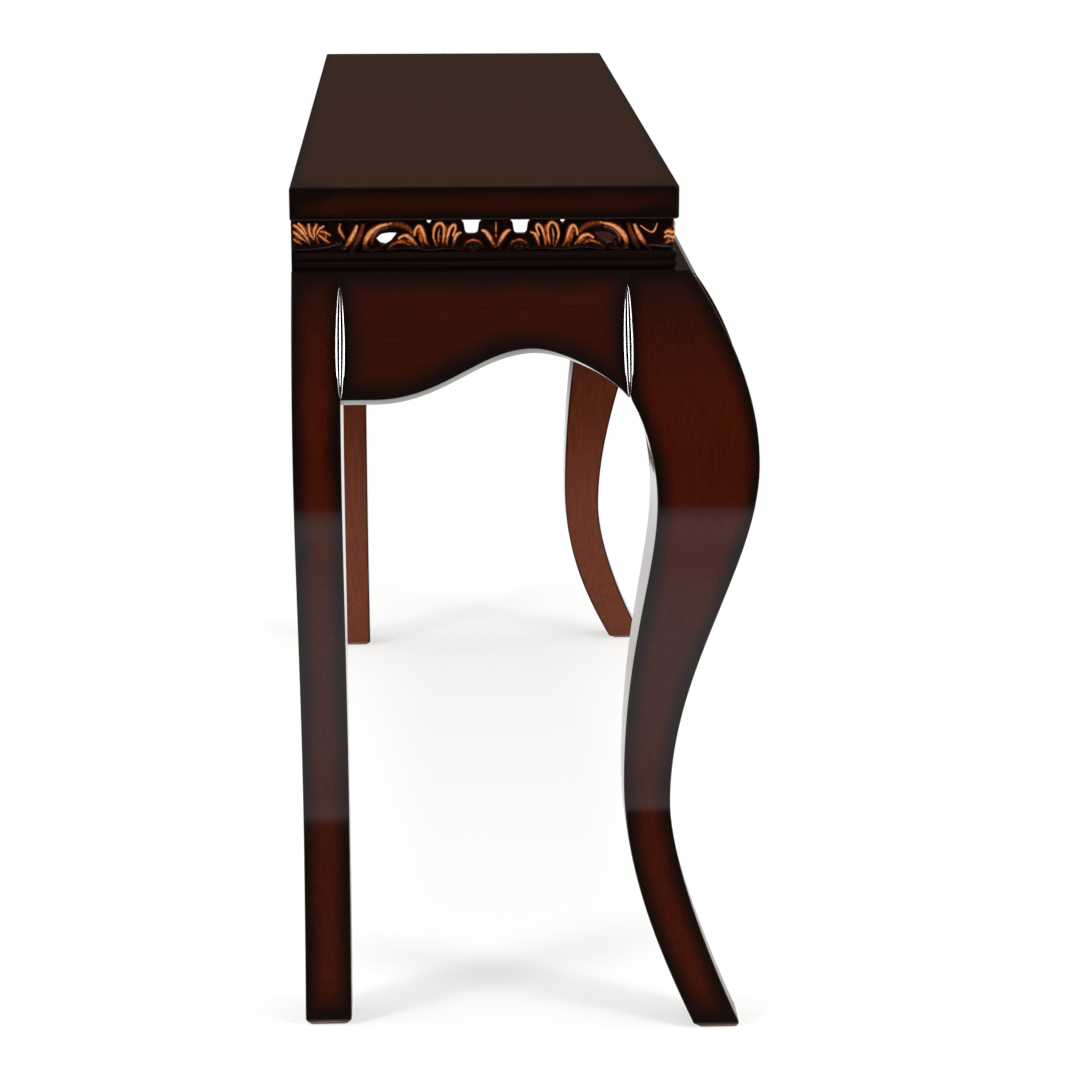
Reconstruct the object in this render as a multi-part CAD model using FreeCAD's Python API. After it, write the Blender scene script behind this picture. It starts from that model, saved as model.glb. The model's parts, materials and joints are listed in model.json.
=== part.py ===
import FreeCAD, Part
import math
import os

# Pier table: a long narrow table that stands with its back against a wall. A plain top lies on a pierced
# frieze and a beaded ledge, which stand on swelling aprons, two cabriole front legs and two back legs.
# +X runs along the table, the front faces -Y and +Z is up. The origin is on the floor, in the middle of
# the overall length and depth. All sizes are in millimetres and all angles in degrees.

# Overall sizes
TABLE_HEIGHT = 790.0
TOP_LENGTH = 1200.0
TOP_DEPTH = 350.0
TOP_THICKNESS = 30.0
TOP_CORNER_RADIUS = 12.0
TOP_EDGE_RADIUS = 2.0

# Frieze and ledge, mitred frames between the top and the legs
FRIEZE_HEIGHT = 29.0
FRIEZE_THICKNESS = 14.0
LEDGE_HEIGHT = 16.0
LEDGE_WIDTH = 40.0
LEDGE_SETBACK = 2.0
BACK_SETBACK = 1.0
BEAD_BULGE = 2.0

# Piercings of the carved motif, measured from its middle
FRONT_MOTIFS = 3
FRONT_MOTIF_PITCH = 395.0
END_MOTIF_SHIFT = 10.0
NOTCH_OFFSET = 20.5
NOTCH_TOP_WIDTH = 22.0
NOTCH_FOOT_WIDTH = 14.0
NOTCH_DEPTH = 12.5
EYE_OFFSET = 98.0
EYE_LENGTH = 12.0
EYE_HEIGHT = 7.0
EYE_RISE = 13.0
SLOT_OFFSET = 60.0
SLOT_WIDTH = 9.0
SLOT_DEPTH = 5.0

# Leg template: reach is measured outwards from the face of the leg's top, drop down from the leg's top
# and height up from the floor
LEG_PROUD = 10.0
LEG_TOP_WIDTH = 58.0
BACK_LEG_DEPTH = 43.5
KNEE_REACH = 59.0
KNEE_DROP = 170.0
KNEE_WIDTH = 91.5
KNEE_BACK_DROP = 207.0
ANKLE_REACH = -12.0
ANKLE_HEIGHT = 206.0
ANKLE_WIDTH = 44.3
ANKLE_BACK_HEIGHT = 231.0
FOOT_REACH = 53.0
BACK_FOOT_REACH = 32.0
FOOT_WIDTH = 43.5
FOOT_CHAMFER = 5.0

# Lengths of the template curves' handles, each along the curve's tangent
KNEE_HANDLE = 92.0
ANKLE_HANDLE_ABOVE = 131.0
ANKLE_HANDLE_BELOW = 64.0
FOOT_HANDLE = 39.5
SHOULDER_HANDLE = 47.0
KNEE_BACK_HANDLE = 66.0
ANKLE_BACK_HANDLE_ABOVE = 136.5
ANKLE_BACK_HANDLE_BELOW = 79.0
FOOT_BACK_HANDLE = 85.0
FOOT_LEAN = 27.5

# Aprons: the lower edge is low and flat, then rises to a crown and falls into the front leg
APRON_THICKNESS = 22.0
APRON_DEPTH = 106.0
ARCH_RISE = 42.0
ARCH_CROWN_OFFSET = 87.0
ARCH_SWEEP = 140.0
ARCH_HANDLE = 63.0
SOFFIT_TILT = 22.0
BACK_APRON_THICKNESS = 20.0
BACK_APRON_DEPTH = 75.0
BACK_APRON_SETBACK = 3.0

# Reeds over the joints of the legs and the aprons
REED_COUNT = 3
REED_WIDTH = 3.2
REED_HEIGHT = 3.0
REED_GROOVE = 0.8
REED_GROOVE_DEPTH = 1.6
REED_TOP_GAP = 11.0
REED_FOOT_GAP = 1.0
REED_POINT = 14.0

# Hidden framing
BRACE_WIDTH = 40.0
BRACE_HEIGHT = 30.0
BRACE_LEG_GAP = 9.0
BEARER_WIDTH = 45.0
BEARER_OFFSET = 220.0

# Fasteners
DOWEL_DIAMETER = 8.0
DOWEL_LENGTH = 36.0
DOWEL_TOP_GAP = 18.0
DOWEL_PITCH = 30.0
FRIEZE_DOWEL_DIAMETER = 5.0
FRIEZE_DOWEL_LENGTH = 18.0
FRIEZE_DOWEL_END_GAP = 55.0
BOLT_DIAMETER = 8.0
BOLT_BITE = 42.0
BOLT_TAIL = 5.0
NUT_WIDTH = 13.0
NUT_HEIGHT = 6.5
WASHER_DIAMETER = 20.0
WASHER_THICKNESS = 1.6
SCREW_DIAMETER = 4.0
SCREW_HEAD_DIAMETER = 8.0
SCREW_HEAD_HEIGHT = 3.0
SCREW_BITE = 14.0
LEDGE_BITE = 11.0
BEARER_SCREWS = 2

# Clearances
GLUE_GAP = 0.3
DRILL_CLEARANCE = 0.1
BOLT_CLEARANCE = 0.5

# Places that follow from the sizes
OVERALL_DEPTH = TOP_DEPTH + LEG_PROUD + KNEE_REACH
TOP_BACK_Y = OVERALL_DEPTH / 2
TOP_FRONT_Y = TOP_BACK_Y - TOP_DEPTH
TOP_END_X = TOP_LENGTH / 2
TOP_UNDERSIDE = TABLE_HEIGHT - TOP_THICKNESS
FRIEZE_BASE = TOP_UNDERSIDE - FRIEZE_HEIGHT
LEG_TOP = FRIEZE_BASE - LEDGE_HEIGHT
KNEE_HEIGHT = LEG_TOP - KNEE_DROP
KNEE_BACK_HEIGHT = LEG_TOP - KNEE_BACK_DROP
LEDGE_END_X = TOP_END_X - LEDGE_SETBACK
LEDGE_FRONT_Y = TOP_FRONT_Y + LEDGE_SETBACK
BACK_Y = TOP_BACK_Y - BACK_SETBACK
LEG_END_X = TOP_END_X + LEG_PROUD
LEG_FRONT_Y = TOP_FRONT_Y - LEG_PROUD
JOINT_END_X = LEG_END_X - LEG_TOP_WIDTH
JOINT_FRONT_Y = LEG_FRONT_Y + LEG_TOP_WIDTH
JOINT_BACK_Y = BACK_Y - BACK_LEG_DEPTH
JOINT_MIDDLE_Y = (JOINT_FRONT_Y + JOINT_BACK_Y) / 2
APRON_LOW = LEG_TOP - APRON_DEPTH
ARCH_CROWN = APRON_LOW + ARCH_RISE
BACK_APRON_INNER_Y = BACK_Y - BACK_APRON_SETBACK - BACK_APRON_THICKNESS
REED_STRIP_WIDTH = REED_COUNT * REED_WIDTH
POST_SIZE = LEDGE_WIDTH - FRIEZE_THICKNESS
BEYOND = TOP_LENGTH + OVERALL_DEPTH

Vec = FreeCAD.Vector
ACROSS = Vec(1, 0, 0)
INWARDS = Vec(0, 1, 0)
UP = Vec(0, 0, 1)
ORIGIN = Vec(0, 0, 0)


def line(start, end):
    """Return a straight edge."""
    return Part.LineSegment(start, end).toShape()


def bezier(*poles):
    """Return a Bezier edge with the given poles."""
    curve = Part.BezierCurve()
    curve.setPoles(list(poles))
    return curve.toShape()


def face_of(edges):
    """Return the flat face inside a closed run of edges."""
    return Part.Face(Part.Wire(edges))


def polygon(points):
    """Return the flat face inside a closed run of straight edges."""
    return Part.Face(Part.makePolygon(points + points[:1]))


def box(low, high):
    """Return the box between two opposite corners."""
    size = high - low
    return Part.makeBox(size.x, size.y, size.z, low)


def rod(diameter, start, end):
    """Return a round rod between two points."""
    return Part.makeCylinder(diameter / 2, (end - start).Length, start, end - start)


def drilled(shape, holes):
    """Return the shape with every hole cut from it."""
    for hole in holes:
        shape = shape.cut(hole)
    return shape


def mirrored(shape):
    """Return the shape's twin at the other end of the table."""
    return shape.mirror(ORIGIN, ACROSS)


def swell(height):
    """Return how far the legs and aprons reach outwards at a height between knee and leg top."""
    share = (LEG_TOP - height) / (LEG_TOP - KNEE_HEIGHT)
    return KNEE_REACH * (2 * share - share * share)


def swell_edge(place, top, foot, shift):
    """Return the stretch of the swell's parabola between two heights, moved outwards by a shift.

    place maps a reach and a height to a point. The middle pole of a parabola lies where its end
    tangents meet, at the mean height of its ends.
    """
    run = (top - foot) / 2
    fall = 2 * KNEE_REACH / (LEG_TOP - KNEE_HEIGHT) * (1 - (LEG_TOP - top) / (LEG_TOP - KNEE_HEIGHT))
    middle = swell(top) + fall * run
    return bezier(
        place(swell(top) + shift, top),
        place(middle + shift, top - run),
        place(swell(foot) + shift, foot),
    )


def swell_band(place, top, foot, inner_shift, outer_shift):
    """Return the face between two copies of the swell curve."""
    return face_of([
        swell_edge(place, top, foot, outer_shift),
        line(place(swell(foot) + outer_shift, foot), place(swell(foot) + inner_shift, foot)),
        swell_edge(place, top, foot, inner_shift),
        line(place(swell(top) + inner_shift, top), place(swell(top) + outer_shift, top)),
    ])


def end_place(reach, height):
    """Return the point at a reach and a height on the left end's profile."""
    return Vec(-LEG_END_X - reach, 0, height)


def front_place(reach, height):
    """Return the point at a reach and a height on the front's profile."""
    return Vec(0, LEG_FRONT_Y - reach, height)


def leg_template(place, foot_reach):
    """Return the face of the sawn leg profile in the plane that place maps to."""
    knee_back = KNEE_REACH - KNEE_WIDTH
    ankle_back = ANKLE_REACH - ANKLE_WIDTH
    foot_back = foot_reach - FOOT_WIDTH
    lean = math.tan(math.radians(FOOT_LEAN)) * (foot_reach - ANKLE_REACH) / (FOOT_REACH - ANKLE_REACH)
    sole_front = place(foot_reach, 0)
    sole_back = place(foot_back, 0)
    return face_of([
        swell_edge(place, LEG_TOP, KNEE_HEIGHT, 0),
        bezier(
            place(KNEE_REACH, KNEE_HEIGHT),
            place(KNEE_REACH, KNEE_HEIGHT - KNEE_HANDLE),
            place(ANKLE_REACH, ANKLE_HEIGHT + ANKLE_HANDLE_ABOVE),
            place(ANKLE_REACH, ANKLE_HEIGHT),
        ),
        bezier(
            place(ANKLE_REACH, ANKLE_HEIGHT),
            place(ANKLE_REACH, ANKLE_HEIGHT - ANKLE_HANDLE_BELOW),
            place(foot_reach - lean * FOOT_HANDLE, FOOT_HANDLE),
            sole_front,
        ),
        line(sole_front, sole_back),
        bezier(
            sole_back,
            place(foot_back - lean * FOOT_BACK_HANDLE, FOOT_BACK_HANDLE),
            place(ankle_back, ANKLE_BACK_HEIGHT - ANKLE_BACK_HANDLE_BELOW),
            place(ankle_back, ANKLE_BACK_HEIGHT),
        ),
        bezier(
            place(ankle_back, ANKLE_BACK_HEIGHT),
            place(ankle_back, ANKLE_BACK_HEIGHT + ANKLE_BACK_HANDLE_ABOVE),
            place(knee_back, KNEE_BACK_HEIGHT - KNEE_BACK_HANDLE),
            place(knee_back, KNEE_BACK_HEIGHT),
        ),
        bezier(
            place(knee_back, KNEE_BACK_HEIGHT),
            place(knee_back, APRON_LOW - SHOULDER_HANDLE),
            place(-LEG_TOP_WIDTH, APRON_LOW),
        ),
        line(place(-LEG_TOP_WIDTH, APRON_LOW), place(-LEG_TOP_WIDTH, LEG_TOP)),
        line(place(-LEG_TOP_WIDTH, LEG_TOP), place(0, LEG_TOP)),
    ])


def with_foot_chamfer(leg):
    """Return a leg with the edges of its sole chamfered."""
    sole = [edge for edge in leg.Edges if edge.BoundBox.ZMax < GLUE_GAP]
    return leg.makeChamfer(FOOT_CHAMFER, sole)


def front_leg():
    """Return the left front leg, sawn to the template on two faces."""
    front_view = leg_template(front_place, FOOT_REACH).extrude(ACROSS * -BEYOND)
    end_view = leg_template(end_place, FOOT_REACH).extrude(INWARDS * -BEYOND)
    return with_foot_chamfer(front_view.common(end_view).Solids[0])


def back_leg():
    """Return the left back leg, sawn to the template on one face and flat at the back."""
    outline = leg_template(end_place, BACK_FOOT_REACH)
    outline.translate(INWARDS * JOINT_BACK_Y)
    return with_foot_chamfer(outline.extrude(INWARDS * BACK_LEG_DEPTH))


def along_face(height):
    """Return a face height's distance along the slope that the soffit is cut square to."""
    tilt = math.radians(SOFFIT_TILT)
    return height * math.cos(tilt) - swell(height) * math.sin(tilt)


def arch_cutter(runs, outwards):
    """Return the solid that an arched lower edge removes, cut square to the apron's face.

    Each run is a list of poles, as a point on the joint-to-joint line and a height on the face.
    """
    tilt = math.radians(SOFFIT_TILT)
    normal = outwards * math.cos(tilt) + UP * math.sin(tilt)
    slope = UP * math.cos(tilt) - outwards * math.sin(tilt)
    floor = along_face(APRON_LOW) - APRON_DEPTH

    def at(point, distance):
        return point + slope * distance - normal * BEYOND

    edges = [bezier(*[at(point, along_face(height)) for point, height in run]) for run in runs]
    start = runs[0][0]
    end = runs[-1][-1]
    edges.append(line(at(end[0], along_face(end[1])), at(end[0], floor)))
    edges.append(line(at(end[0], floor), at(start[0], floor)))
    edges.append(line(at(start[0], floor), at(start[0], along_face(start[1]))))
    return face_of(edges).extrude(normal * (BEYOND + BEYOND))


def arch_runs(leg_joint, direction):
    """Return the fall into a leg and the sweep down to the flat, going away from a front leg."""
    crown = leg_joint + direction * ARCH_CROWN_OFFSET
    flat = crown + direction * ARCH_SWEEP
    fall = [
        (leg_joint, APRON_LOW),
        (leg_joint + direction * (ARCH_CROWN_OFFSET / 2), ARCH_CROWN),
        (crown, ARCH_CROWN),
    ]
    sweep = [
        (crown, ARCH_CROWN),
        (crown + direction * ARCH_HANDLE, ARCH_CROWN),
        (flat - direction * ARCH_HANDLE, APRON_LOW),
        (flat, APRON_LOW),
    ]
    return fall, sweep


def end_apron():
    """Return the left apron, with one arch beside the front leg."""
    band = swell_band(end_place, LEG_TOP, APRON_LOW - APRON_THICKNESS, -APRON_THICKNESS, 0)
    band.translate(INWARDS * JOINT_FRONT_Y)
    board = band.extrude(INWARDS * (JOINT_BACK_Y - JOINT_FRONT_Y))
    start = Vec(-LEG_END_X, JOINT_FRONT_Y, 0)
    fall, sweep = arch_runs(start, INWARDS)
    flat = [sweep[-1], (Vec(-LEG_END_X, JOINT_BACK_Y, 0), APRON_LOW)]
    return board.cut(arch_cutter([fall, sweep, flat], -ACROSS))


def front_apron():
    """Return the front apron, with an arch beside each leg and a flat between them."""
    band = swell_band(front_place, LEG_TOP, APRON_LOW - APRON_THICKNESS, -APRON_THICKNESS, 0)
    band.translate(ACROSS * -JOINT_END_X)
    board = band.extrude(ACROSS * (2 * JOINT_END_X))
    fall, sweep = arch_runs(Vec(-JOINT_END_X, LEG_FRONT_Y, 0), ACROSS)
    far_fall, far_sweep = arch_runs(Vec(JOINT_END_X, LEG_FRONT_Y, 0), -ACROSS)
    flat = [sweep[-1], far_sweep[-1]]
    runs = [fall, sweep, flat, far_sweep[::-1], far_fall[::-1]]
    return board.cut(arch_cutter(runs, -INWARDS))


def back_apron():
    """Return the plain board between the back legs."""
    low = Vec(-JOINT_END_X, BACK_APRON_INNER_Y, LEG_TOP - BACK_APRON_DEPTH)
    high = Vec(JOINT_END_X, BACK_APRON_INNER_Y + BACK_APRON_THICKNESS, LEG_TOP)
    return box(low, high)


def reed_strip(place, along, joint):
    """Return one strip of reeds, pointed at both ends, laid over a joint of a leg and an apron."""
    top = LEG_TOP - REED_TOP_GAP
    foot = APRON_LOW + REED_FOOT_GAP
    half = REED_STRIP_WIDTH / 2
    band = swell_band(place, top, foot, GLUE_GAP, GLUE_GAP + REED_HEIGHT)
    band.translate(along * (joint - half))
    strip = band.extrude(along * REED_STRIP_WIDTH)
    groove_floor = GLUE_GAP + REED_HEIGHT - REED_GROOVE_DEPTH
    for index in range(1, REED_COUNT):
        groove = swell_band(place, top, foot, groove_floor, GLUE_GAP + REED_HEIGHT + GLUE_GAP)
        groove.translate(along * (joint - half + index * REED_WIDTH - REED_GROOVE / 2))
        strip = strip.cut(groove.extrude(along * REED_GROOVE))
    middle = along * joint
    outwards = place(BEYOND, 0) - place(0, 0)
    outline = polygon([
        middle + UP * top,
        middle + along * half + UP * (top - REED_POINT),
        middle + along * half + UP * (foot + REED_POINT),
        middle + UP * foot,
        middle - along * half + UP * (foot + REED_POINT),
        middle - along * half + UP * (top - REED_POINT),
    ])
    return strip.common(outline.extrude(outwards))


def frame_piece(outline, side):
    """Return one side of a mitred frame that runs round the ledge.

    outline maps a side's inner corner and direction to its cross-section. The four sides meet on
    planes at 45 degrees through the corners.
    """
    front_corner = Vec(-LEDGE_END_X, LEDGE_FRONT_Y, 0)
    back_corner = Vec(-LEDGE_END_X, BACK_Y, 0)
    depth = BACK_Y - LEDGE_FRONT_Y
    mitres = {
        "left": [front_corner, back_corner, back_corner + Vec(depth / 2, -depth / 2, 0)],
        "front": [
            front_corner,
            front_corner + Vec(depth / 2, depth / 2, 0),
            Vec(LEDGE_END_X - depth / 2, LEDGE_FRONT_Y + depth / 2, 0),
            Vec(LEDGE_END_X, LEDGE_FRONT_Y, 0),
        ],
        "back": [
            back_corner,
            back_corner + Vec(depth / 2, -depth / 2, 0),
            Vec(LEDGE_END_X - depth / 2, BACK_Y - depth / 2, 0),
            Vec(LEDGE_END_X, BACK_Y, 0),
        ],
    }
    wedge = polygon(mitres[side]).extrude(UP * TABLE_HEIGHT)
    starts = {
        "left": (front_corner, ACROSS, INWARDS * depth),
        "front": (front_corner, INWARDS, ACROSS * (2 * LEDGE_END_X)),
        "back": (back_corner, -INWARDS, ACROSS * (2 * LEDGE_END_X)),
    }
    corner, inner, run = starts[side]
    return outline(corner, inner).extrude(run).common(wedge)


def ledge_outline(corner, inner):
    """Return the ledge's cross-section, with two beads on its outer edge."""
    bead = LEDGE_HEIGHT / 2
    base = corner + UP * LEG_TOP

    def at(depth, rise):
        return base + inner * depth + UP * rise

    edges = [
        Part.Arc(at(BEAD_BULGE, 0), at(0, bead / 2), at(BEAD_BULGE, bead)).toShape(),
        Part.Arc(at(BEAD_BULGE, bead), at(0, bead * 3 / 2), at(BEAD_BULGE, LEDGE_HEIGHT)).toShape(),
        line(at(BEAD_BULGE, LEDGE_HEIGHT), at(LEDGE_WIDTH, LEDGE_HEIGHT)),
        line(at(LEDGE_WIDTH, LEDGE_HEIGHT), at(LEDGE_WIDTH, 0)),
        line(at(LEDGE_WIDTH, 0), at(BEAD_BULGE, 0)),
    ]
    return face_of(edges)


def frieze_outline(corner, inner):
    """Return the frieze board's plain cross-section."""
    base = corner + UP * FRIEZE_BASE
    thickness = inner * FRIEZE_THICKNESS
    return polygon([base, base + thickness, base + thickness + UP * FRIEZE_HEIGHT, base + UP * FRIEZE_HEIGHT])


def motif_piercings(middle, along, through):
    """Return the holes of one carved motif: notches and slots in the top edge, and scroll eyes."""
    holes = []
    top = middle + UP * TOP_UNDERSIDE
    for side in (-1, 1):
        notch = top + along * (side * NOTCH_OFFSET)
        holes.append(polygon([
            notch - along * (NOTCH_TOP_WIDTH / 2),
            notch + along * (NOTCH_TOP_WIDTH / 2),
            notch + along * (NOTCH_FOOT_WIDTH / 2) - UP * NOTCH_DEPTH,
            notch - along * (NOTCH_FOOT_WIDTH / 2) - UP * NOTCH_DEPTH,
        ]).extrude(through))
        slot = top + along * (side * SLOT_OFFSET)
        holes.append(polygon([
            slot - along * (SLOT_WIDTH / 2),
            slot + along * (SLOT_WIDTH / 2),
            slot + along * (SLOT_WIDTH / 2) - UP * SLOT_DEPTH,
            slot - along * (SLOT_WIDTH / 2) - UP * SLOT_DEPTH,
        ]).extrude(through))
        eye = middle + along * (side * EYE_OFFSET) + UP * (FRIEZE_BASE + EYE_RISE)
        ellipse = Part.Ellipse(
            eye + along * (EYE_LENGTH / 2),
            eye + UP * (EYE_HEIGHT / 2),
            eye,
        )
        holes.append(Part.Face(Part.Wire([ellipse.toShape()])).extrude(through))
    return holes


def end_frieze():
    """Return the left frieze board with one carved motif's piercings."""
    board = frame_piece(frieze_outline, "left")
    middle = Vec(-LEDGE_END_X, (LEDGE_FRONT_Y + BACK_Y) / 2 - END_MOTIF_SHIFT, 0)
    return drilled(board, motif_piercings(middle, INWARDS, ACROSS * FRIEZE_THICKNESS))


def front_frieze():
    """Return the front frieze board with a row of carved motifs' piercings."""
    board = frame_piece(frieze_outline, "front")
    for index in range(FRONT_MOTIFS):
        offset = (index - (FRONT_MOTIFS - 1) / 2) * FRONT_MOTIF_PITCH
        middle = Vec(offset, LEDGE_FRONT_Y, 0)
        board = drilled(board, motif_piercings(middle, ACROSS, INWARDS * FRIEZE_THICKNESS))
    return board


def table_top():
    """Return the top, rounded at its two front corners and eased round its upper edge."""
    slab = box(Vec(-TOP_END_X, TOP_FRONT_Y, TOP_UNDERSIDE), Vec(TOP_END_X, TOP_BACK_Y, TABLE_HEIGHT))
    corners = [
        edge
        for edge in slab.Edges
        if edge.BoundBox.ZLength > TOP_THICKNESS / 2 and edge.CenterOfMass.y < (TOP_FRONT_Y + TOP_BACK_Y) / 2
    ]
    slab = slab.makeFillet(TOP_CORNER_RADIUS, corners)
    upper = [edge for edge in slab.Edges if edge.BoundBox.ZMin > TABLE_HEIGHT - GLUE_GAP]
    return slab.makeFillet(TOP_EDGE_RADIUS, upper)


def corner_post(inner_y, direction):
    """Return a left corner post that stands on the ledge inside a corner of the frieze."""
    start = Vec(-LEDGE_END_X + FRIEZE_THICKNESS, inner_y, FRIEZE_BASE)
    far = start + Vec(POST_SIZE, direction * POST_SIZE, FRIEZE_HEIGHT)
    low = Vec(start.x, min(start.y, far.y), start.z)
    high = Vec(far.x, max(start.y, far.y), far.z)
    return box(low, high)


def top_bearer():
    """Return the left cross rail between the front and back friezes."""
    low = Vec(-BEARER_OFFSET - BEARER_WIDTH / 2, LEDGE_FRONT_Y + FRIEZE_THICKNESS, FRIEZE_BASE)
    high = Vec(-BEARER_OFFSET + BEARER_WIDTH / 2, BACK_Y - FRIEZE_THICKNESS, TOP_UNDERSIDE)
    return box(low, high)


def brace_strip(corner, inner):
    """Return a diagonal bar across a corner, before its ends are fitted to the aprons.

    corner is the leg's inner corner at the leg top and inner points from it to the middle of the table.
    """
    across = Vec(-inner.y, inner.x, 0)
    near = corner + inner * BRACE_LEG_GAP
    far = near + inner * BRACE_WIDTH
    half = across * (LEG_TOP_WIDTH + BRACE_WIDTH + BRACE_LEG_GAP + APRON_DEPTH)
    return polygon([near - half, near + half, far + half, far - half]).extrude(UP * -BRACE_HEIGHT)


def inside_of(place, along, start, length):
    """Return the space inside a swelling apron's inner face, over a stretch along it."""
    room = swell_band(place, LEG_TOP, LEG_TOP - BRACE_HEIGHT, -BEYOND, -APRON_THICKNESS - GLUE_GAP)
    room.translate(along * start)
    return room.extrude(along * length)


def diagonal(y_sign):
    """Return the level direction from a left leg's inner corner to the middle of the table."""
    return Vec(1, y_sign, 0).normalize()


def front_brace():
    """Return the left front corner brace, its ends bevelled to the swelling aprons."""
    corner = Vec(-JOINT_END_X, JOINT_FRONT_Y, LEG_TOP)
    bar = brace_strip(corner, diagonal(1))
    bar = bar.common(inside_of(end_place, INWARDS, -BEYOND, BEYOND + JOINT_MIDDLE_Y - GLUE_GAP))
    return bar.common(inside_of(front_place, ACROSS, -BEYOND, 2 * BEYOND)).Solids[0]


def back_brace():
    """Return the left back corner brace, between the left apron and the back apron."""
    corner = Vec(-JOINT_END_X, JOINT_BACK_Y, LEG_TOP)
    bar = brace_strip(corner, diagonal(-1))
    bar = bar.common(inside_of(end_place, INWARDS, JOINT_MIDDLE_Y + GLUE_GAP, BEYOND))
    room = box(Vec(-BEYOND, -BEYOND, 0), Vec(BEYOND, BACK_APRON_INNER_Y, TABLE_HEIGHT))
    return bar.common(room).Solids[0]


def hanger_set(corner_y, y_sign):
    """Return a left leg's bolt, washer and nut, and the holes for the bolt in the leg and the brace."""
    inner = diagonal(y_sign)
    corner = Vec(-JOINT_END_X, corner_y, LEG_TOP - BRACE_HEIGHT / 2)
    bite = corner - inner * BOLT_BITE
    seat = corner + inner * (BRACE_LEG_GAP + BRACE_WIDTH)
    washer_face = seat + inner * WASHER_THICKNESS
    nut_face = washer_face + inner * NUT_HEIGHT
    bolt = rod(BOLT_DIAMETER, bite, nut_face + inner * BOLT_TAIL)
    drill = BOLT_DIAMETER + 2 * DRILL_CLEARANCE
    leg_hole = rod(drill, bite, seat)
    brace_hole = rod(BOLT_DIAMETER + 2 * BOLT_CLEARANCE, corner, seat)
    washer = rod(WASHER_DIAMETER, seat, washer_face).cut(rod(drill, seat, washer_face))
    nut_radius = NUT_WIDTH / math.sqrt(3)
    sides = 6
    level = Vec(-inner.y, inner.x, 0)
    rim = []
    for index in range(sides):
        turn = 2 * math.pi * index / sides
        rim.append(washer_face + level * (nut_radius * math.cos(turn)) + UP * (nut_radius * math.sin(turn)))
    nut = polygon(rim).extrude(inner * NUT_HEIGHT).cut(rod(drill, washer_face, nut_face))
    return bolt, washer, nut, leg_hole, brace_hole


def dowel_heights():
    """Return the heights of the two dowels in an apron's joint."""
    upper = LEG_TOP - DOWEL_TOP_GAP
    return [upper, upper - DOWEL_PITCH]


def dowel_pair(middle, along):
    """Return one dowel and its drilled hole, centred on a joint."""
    half = along * (DOWEL_LENGTH / 2)
    pin = rod(DOWEL_DIAMETER, middle - half, middle + half)
    hole = rod(DOWEL_DIAMETER + 2 * DRILL_CLEARANCE, middle - half, middle + half)
    return pin, hole


def end_dowels(joint_y):
    """Return the pins and holes of one joint of the left apron."""
    places = []
    for height in dowel_heights():
        reach = swell(height) - APRON_THICKNESS / 2
        places.append(Vec(-LEG_END_X - reach, joint_y, height))
    return [dowel_pair(place, INWARDS) for place in places]


def front_dowels():
    """Return the pins and holes of the front apron's left joint."""
    places = []
    for height in dowel_heights():
        reach = swell(height) - APRON_THICKNESS / 2
        places.append(Vec(-JOINT_END_X, LEG_FRONT_Y - reach, height))
    return [dowel_pair(place, ACROSS) for place in places]


def back_dowels():
    """Return the pins and holes of the back apron's left joint."""
    middle_y = BACK_APRON_INNER_Y + BACK_APRON_THICKNESS / 2
    return [dowel_pair(Vec(-JOINT_END_X, middle_y, height), ACROSS) for height in dowel_heights()]


def screw(head, length, grow):
    """Return an upright countersunk screw whose head is flush at a point, grown all round by a clearance."""
    shank = rod(SCREW_DIAMETER + 2 * grow, head, head + UP * length)
    cone = Part.makeCone(
        SCREW_HEAD_DIAMETER / 2 + grow,
        SCREW_DIAMETER / 2 + grow,
        SCREW_HEAD_HEIGHT,
        head,
        UP,
    )
    return shank.fuse(cone).removeSplitter()


def screw_and_hole(head, length):
    """Return a screw and its drilled hole."""
    return screw(head, length, 0), screw(head, length, DRILL_CLEARANCE)


def post_screw(inner_y, direction):
    """Return the screw through the ledge and a left corner post into the top."""
    middle = FRIEZE_THICKNESS + POST_SIZE / 2
    head = Vec(-LEDGE_END_X + middle, inner_y + direction * POST_SIZE / 2, LEG_TOP)
    return screw_and_hole(head, LEDGE_HEIGHT + FRIEZE_HEIGHT + SCREW_BITE)


def bearer_screws():
    """Return the screws through the left bearer into the top."""
    pairs = []
    span = BACK_Y - LEDGE_FRONT_Y - 2 * LEDGE_WIDTH
    for index in range(BEARER_SCREWS):
        offset = span * (index + 1) / (BEARER_SCREWS + 1)
        head = Vec(-BEARER_OFFSET, LEDGE_FRONT_Y + LEDGE_WIDTH + offset, FRIEZE_BASE)
        pairs.append(screw_and_hole(head, FRIEZE_HEIGHT + SCREW_BITE))
    return pairs


def brace_screw(corner_y, y_sign):
    """Return the screw through a left corner brace up into the end ledge."""
    ledge_middle = -LEDGE_END_X + LEDGE_WIDTH * 2 / 3
    brace_middle = (BRACE_LEG_GAP + BRACE_WIDTH / 2) * math.sqrt(2)
    run = brace_middle + (-JOINT_END_X - ledge_middle)
    head = Vec(ledge_middle, corner_y + y_sign * run, LEG_TOP - BRACE_HEIGHT)
    return screw_and_hole(head, BRACE_HEIGHT + LEDGE_BITE)


def frieze_dowel(point):
    """Return a short upright dowel and its hole, half in the ledge and half in the frieze."""
    middle = Vec(point.x, point.y, FRIEZE_BASE)
    half = UP * (FRIEZE_DOWEL_LENGTH / 2)
    pin = rod(FRIEZE_DOWEL_DIAMETER, middle - half, middle + half)
    hole = rod(FRIEZE_DOWEL_DIAMETER + 2 * DRILL_CLEARANCE, middle - half, middle + half)
    return pin, hole


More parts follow.
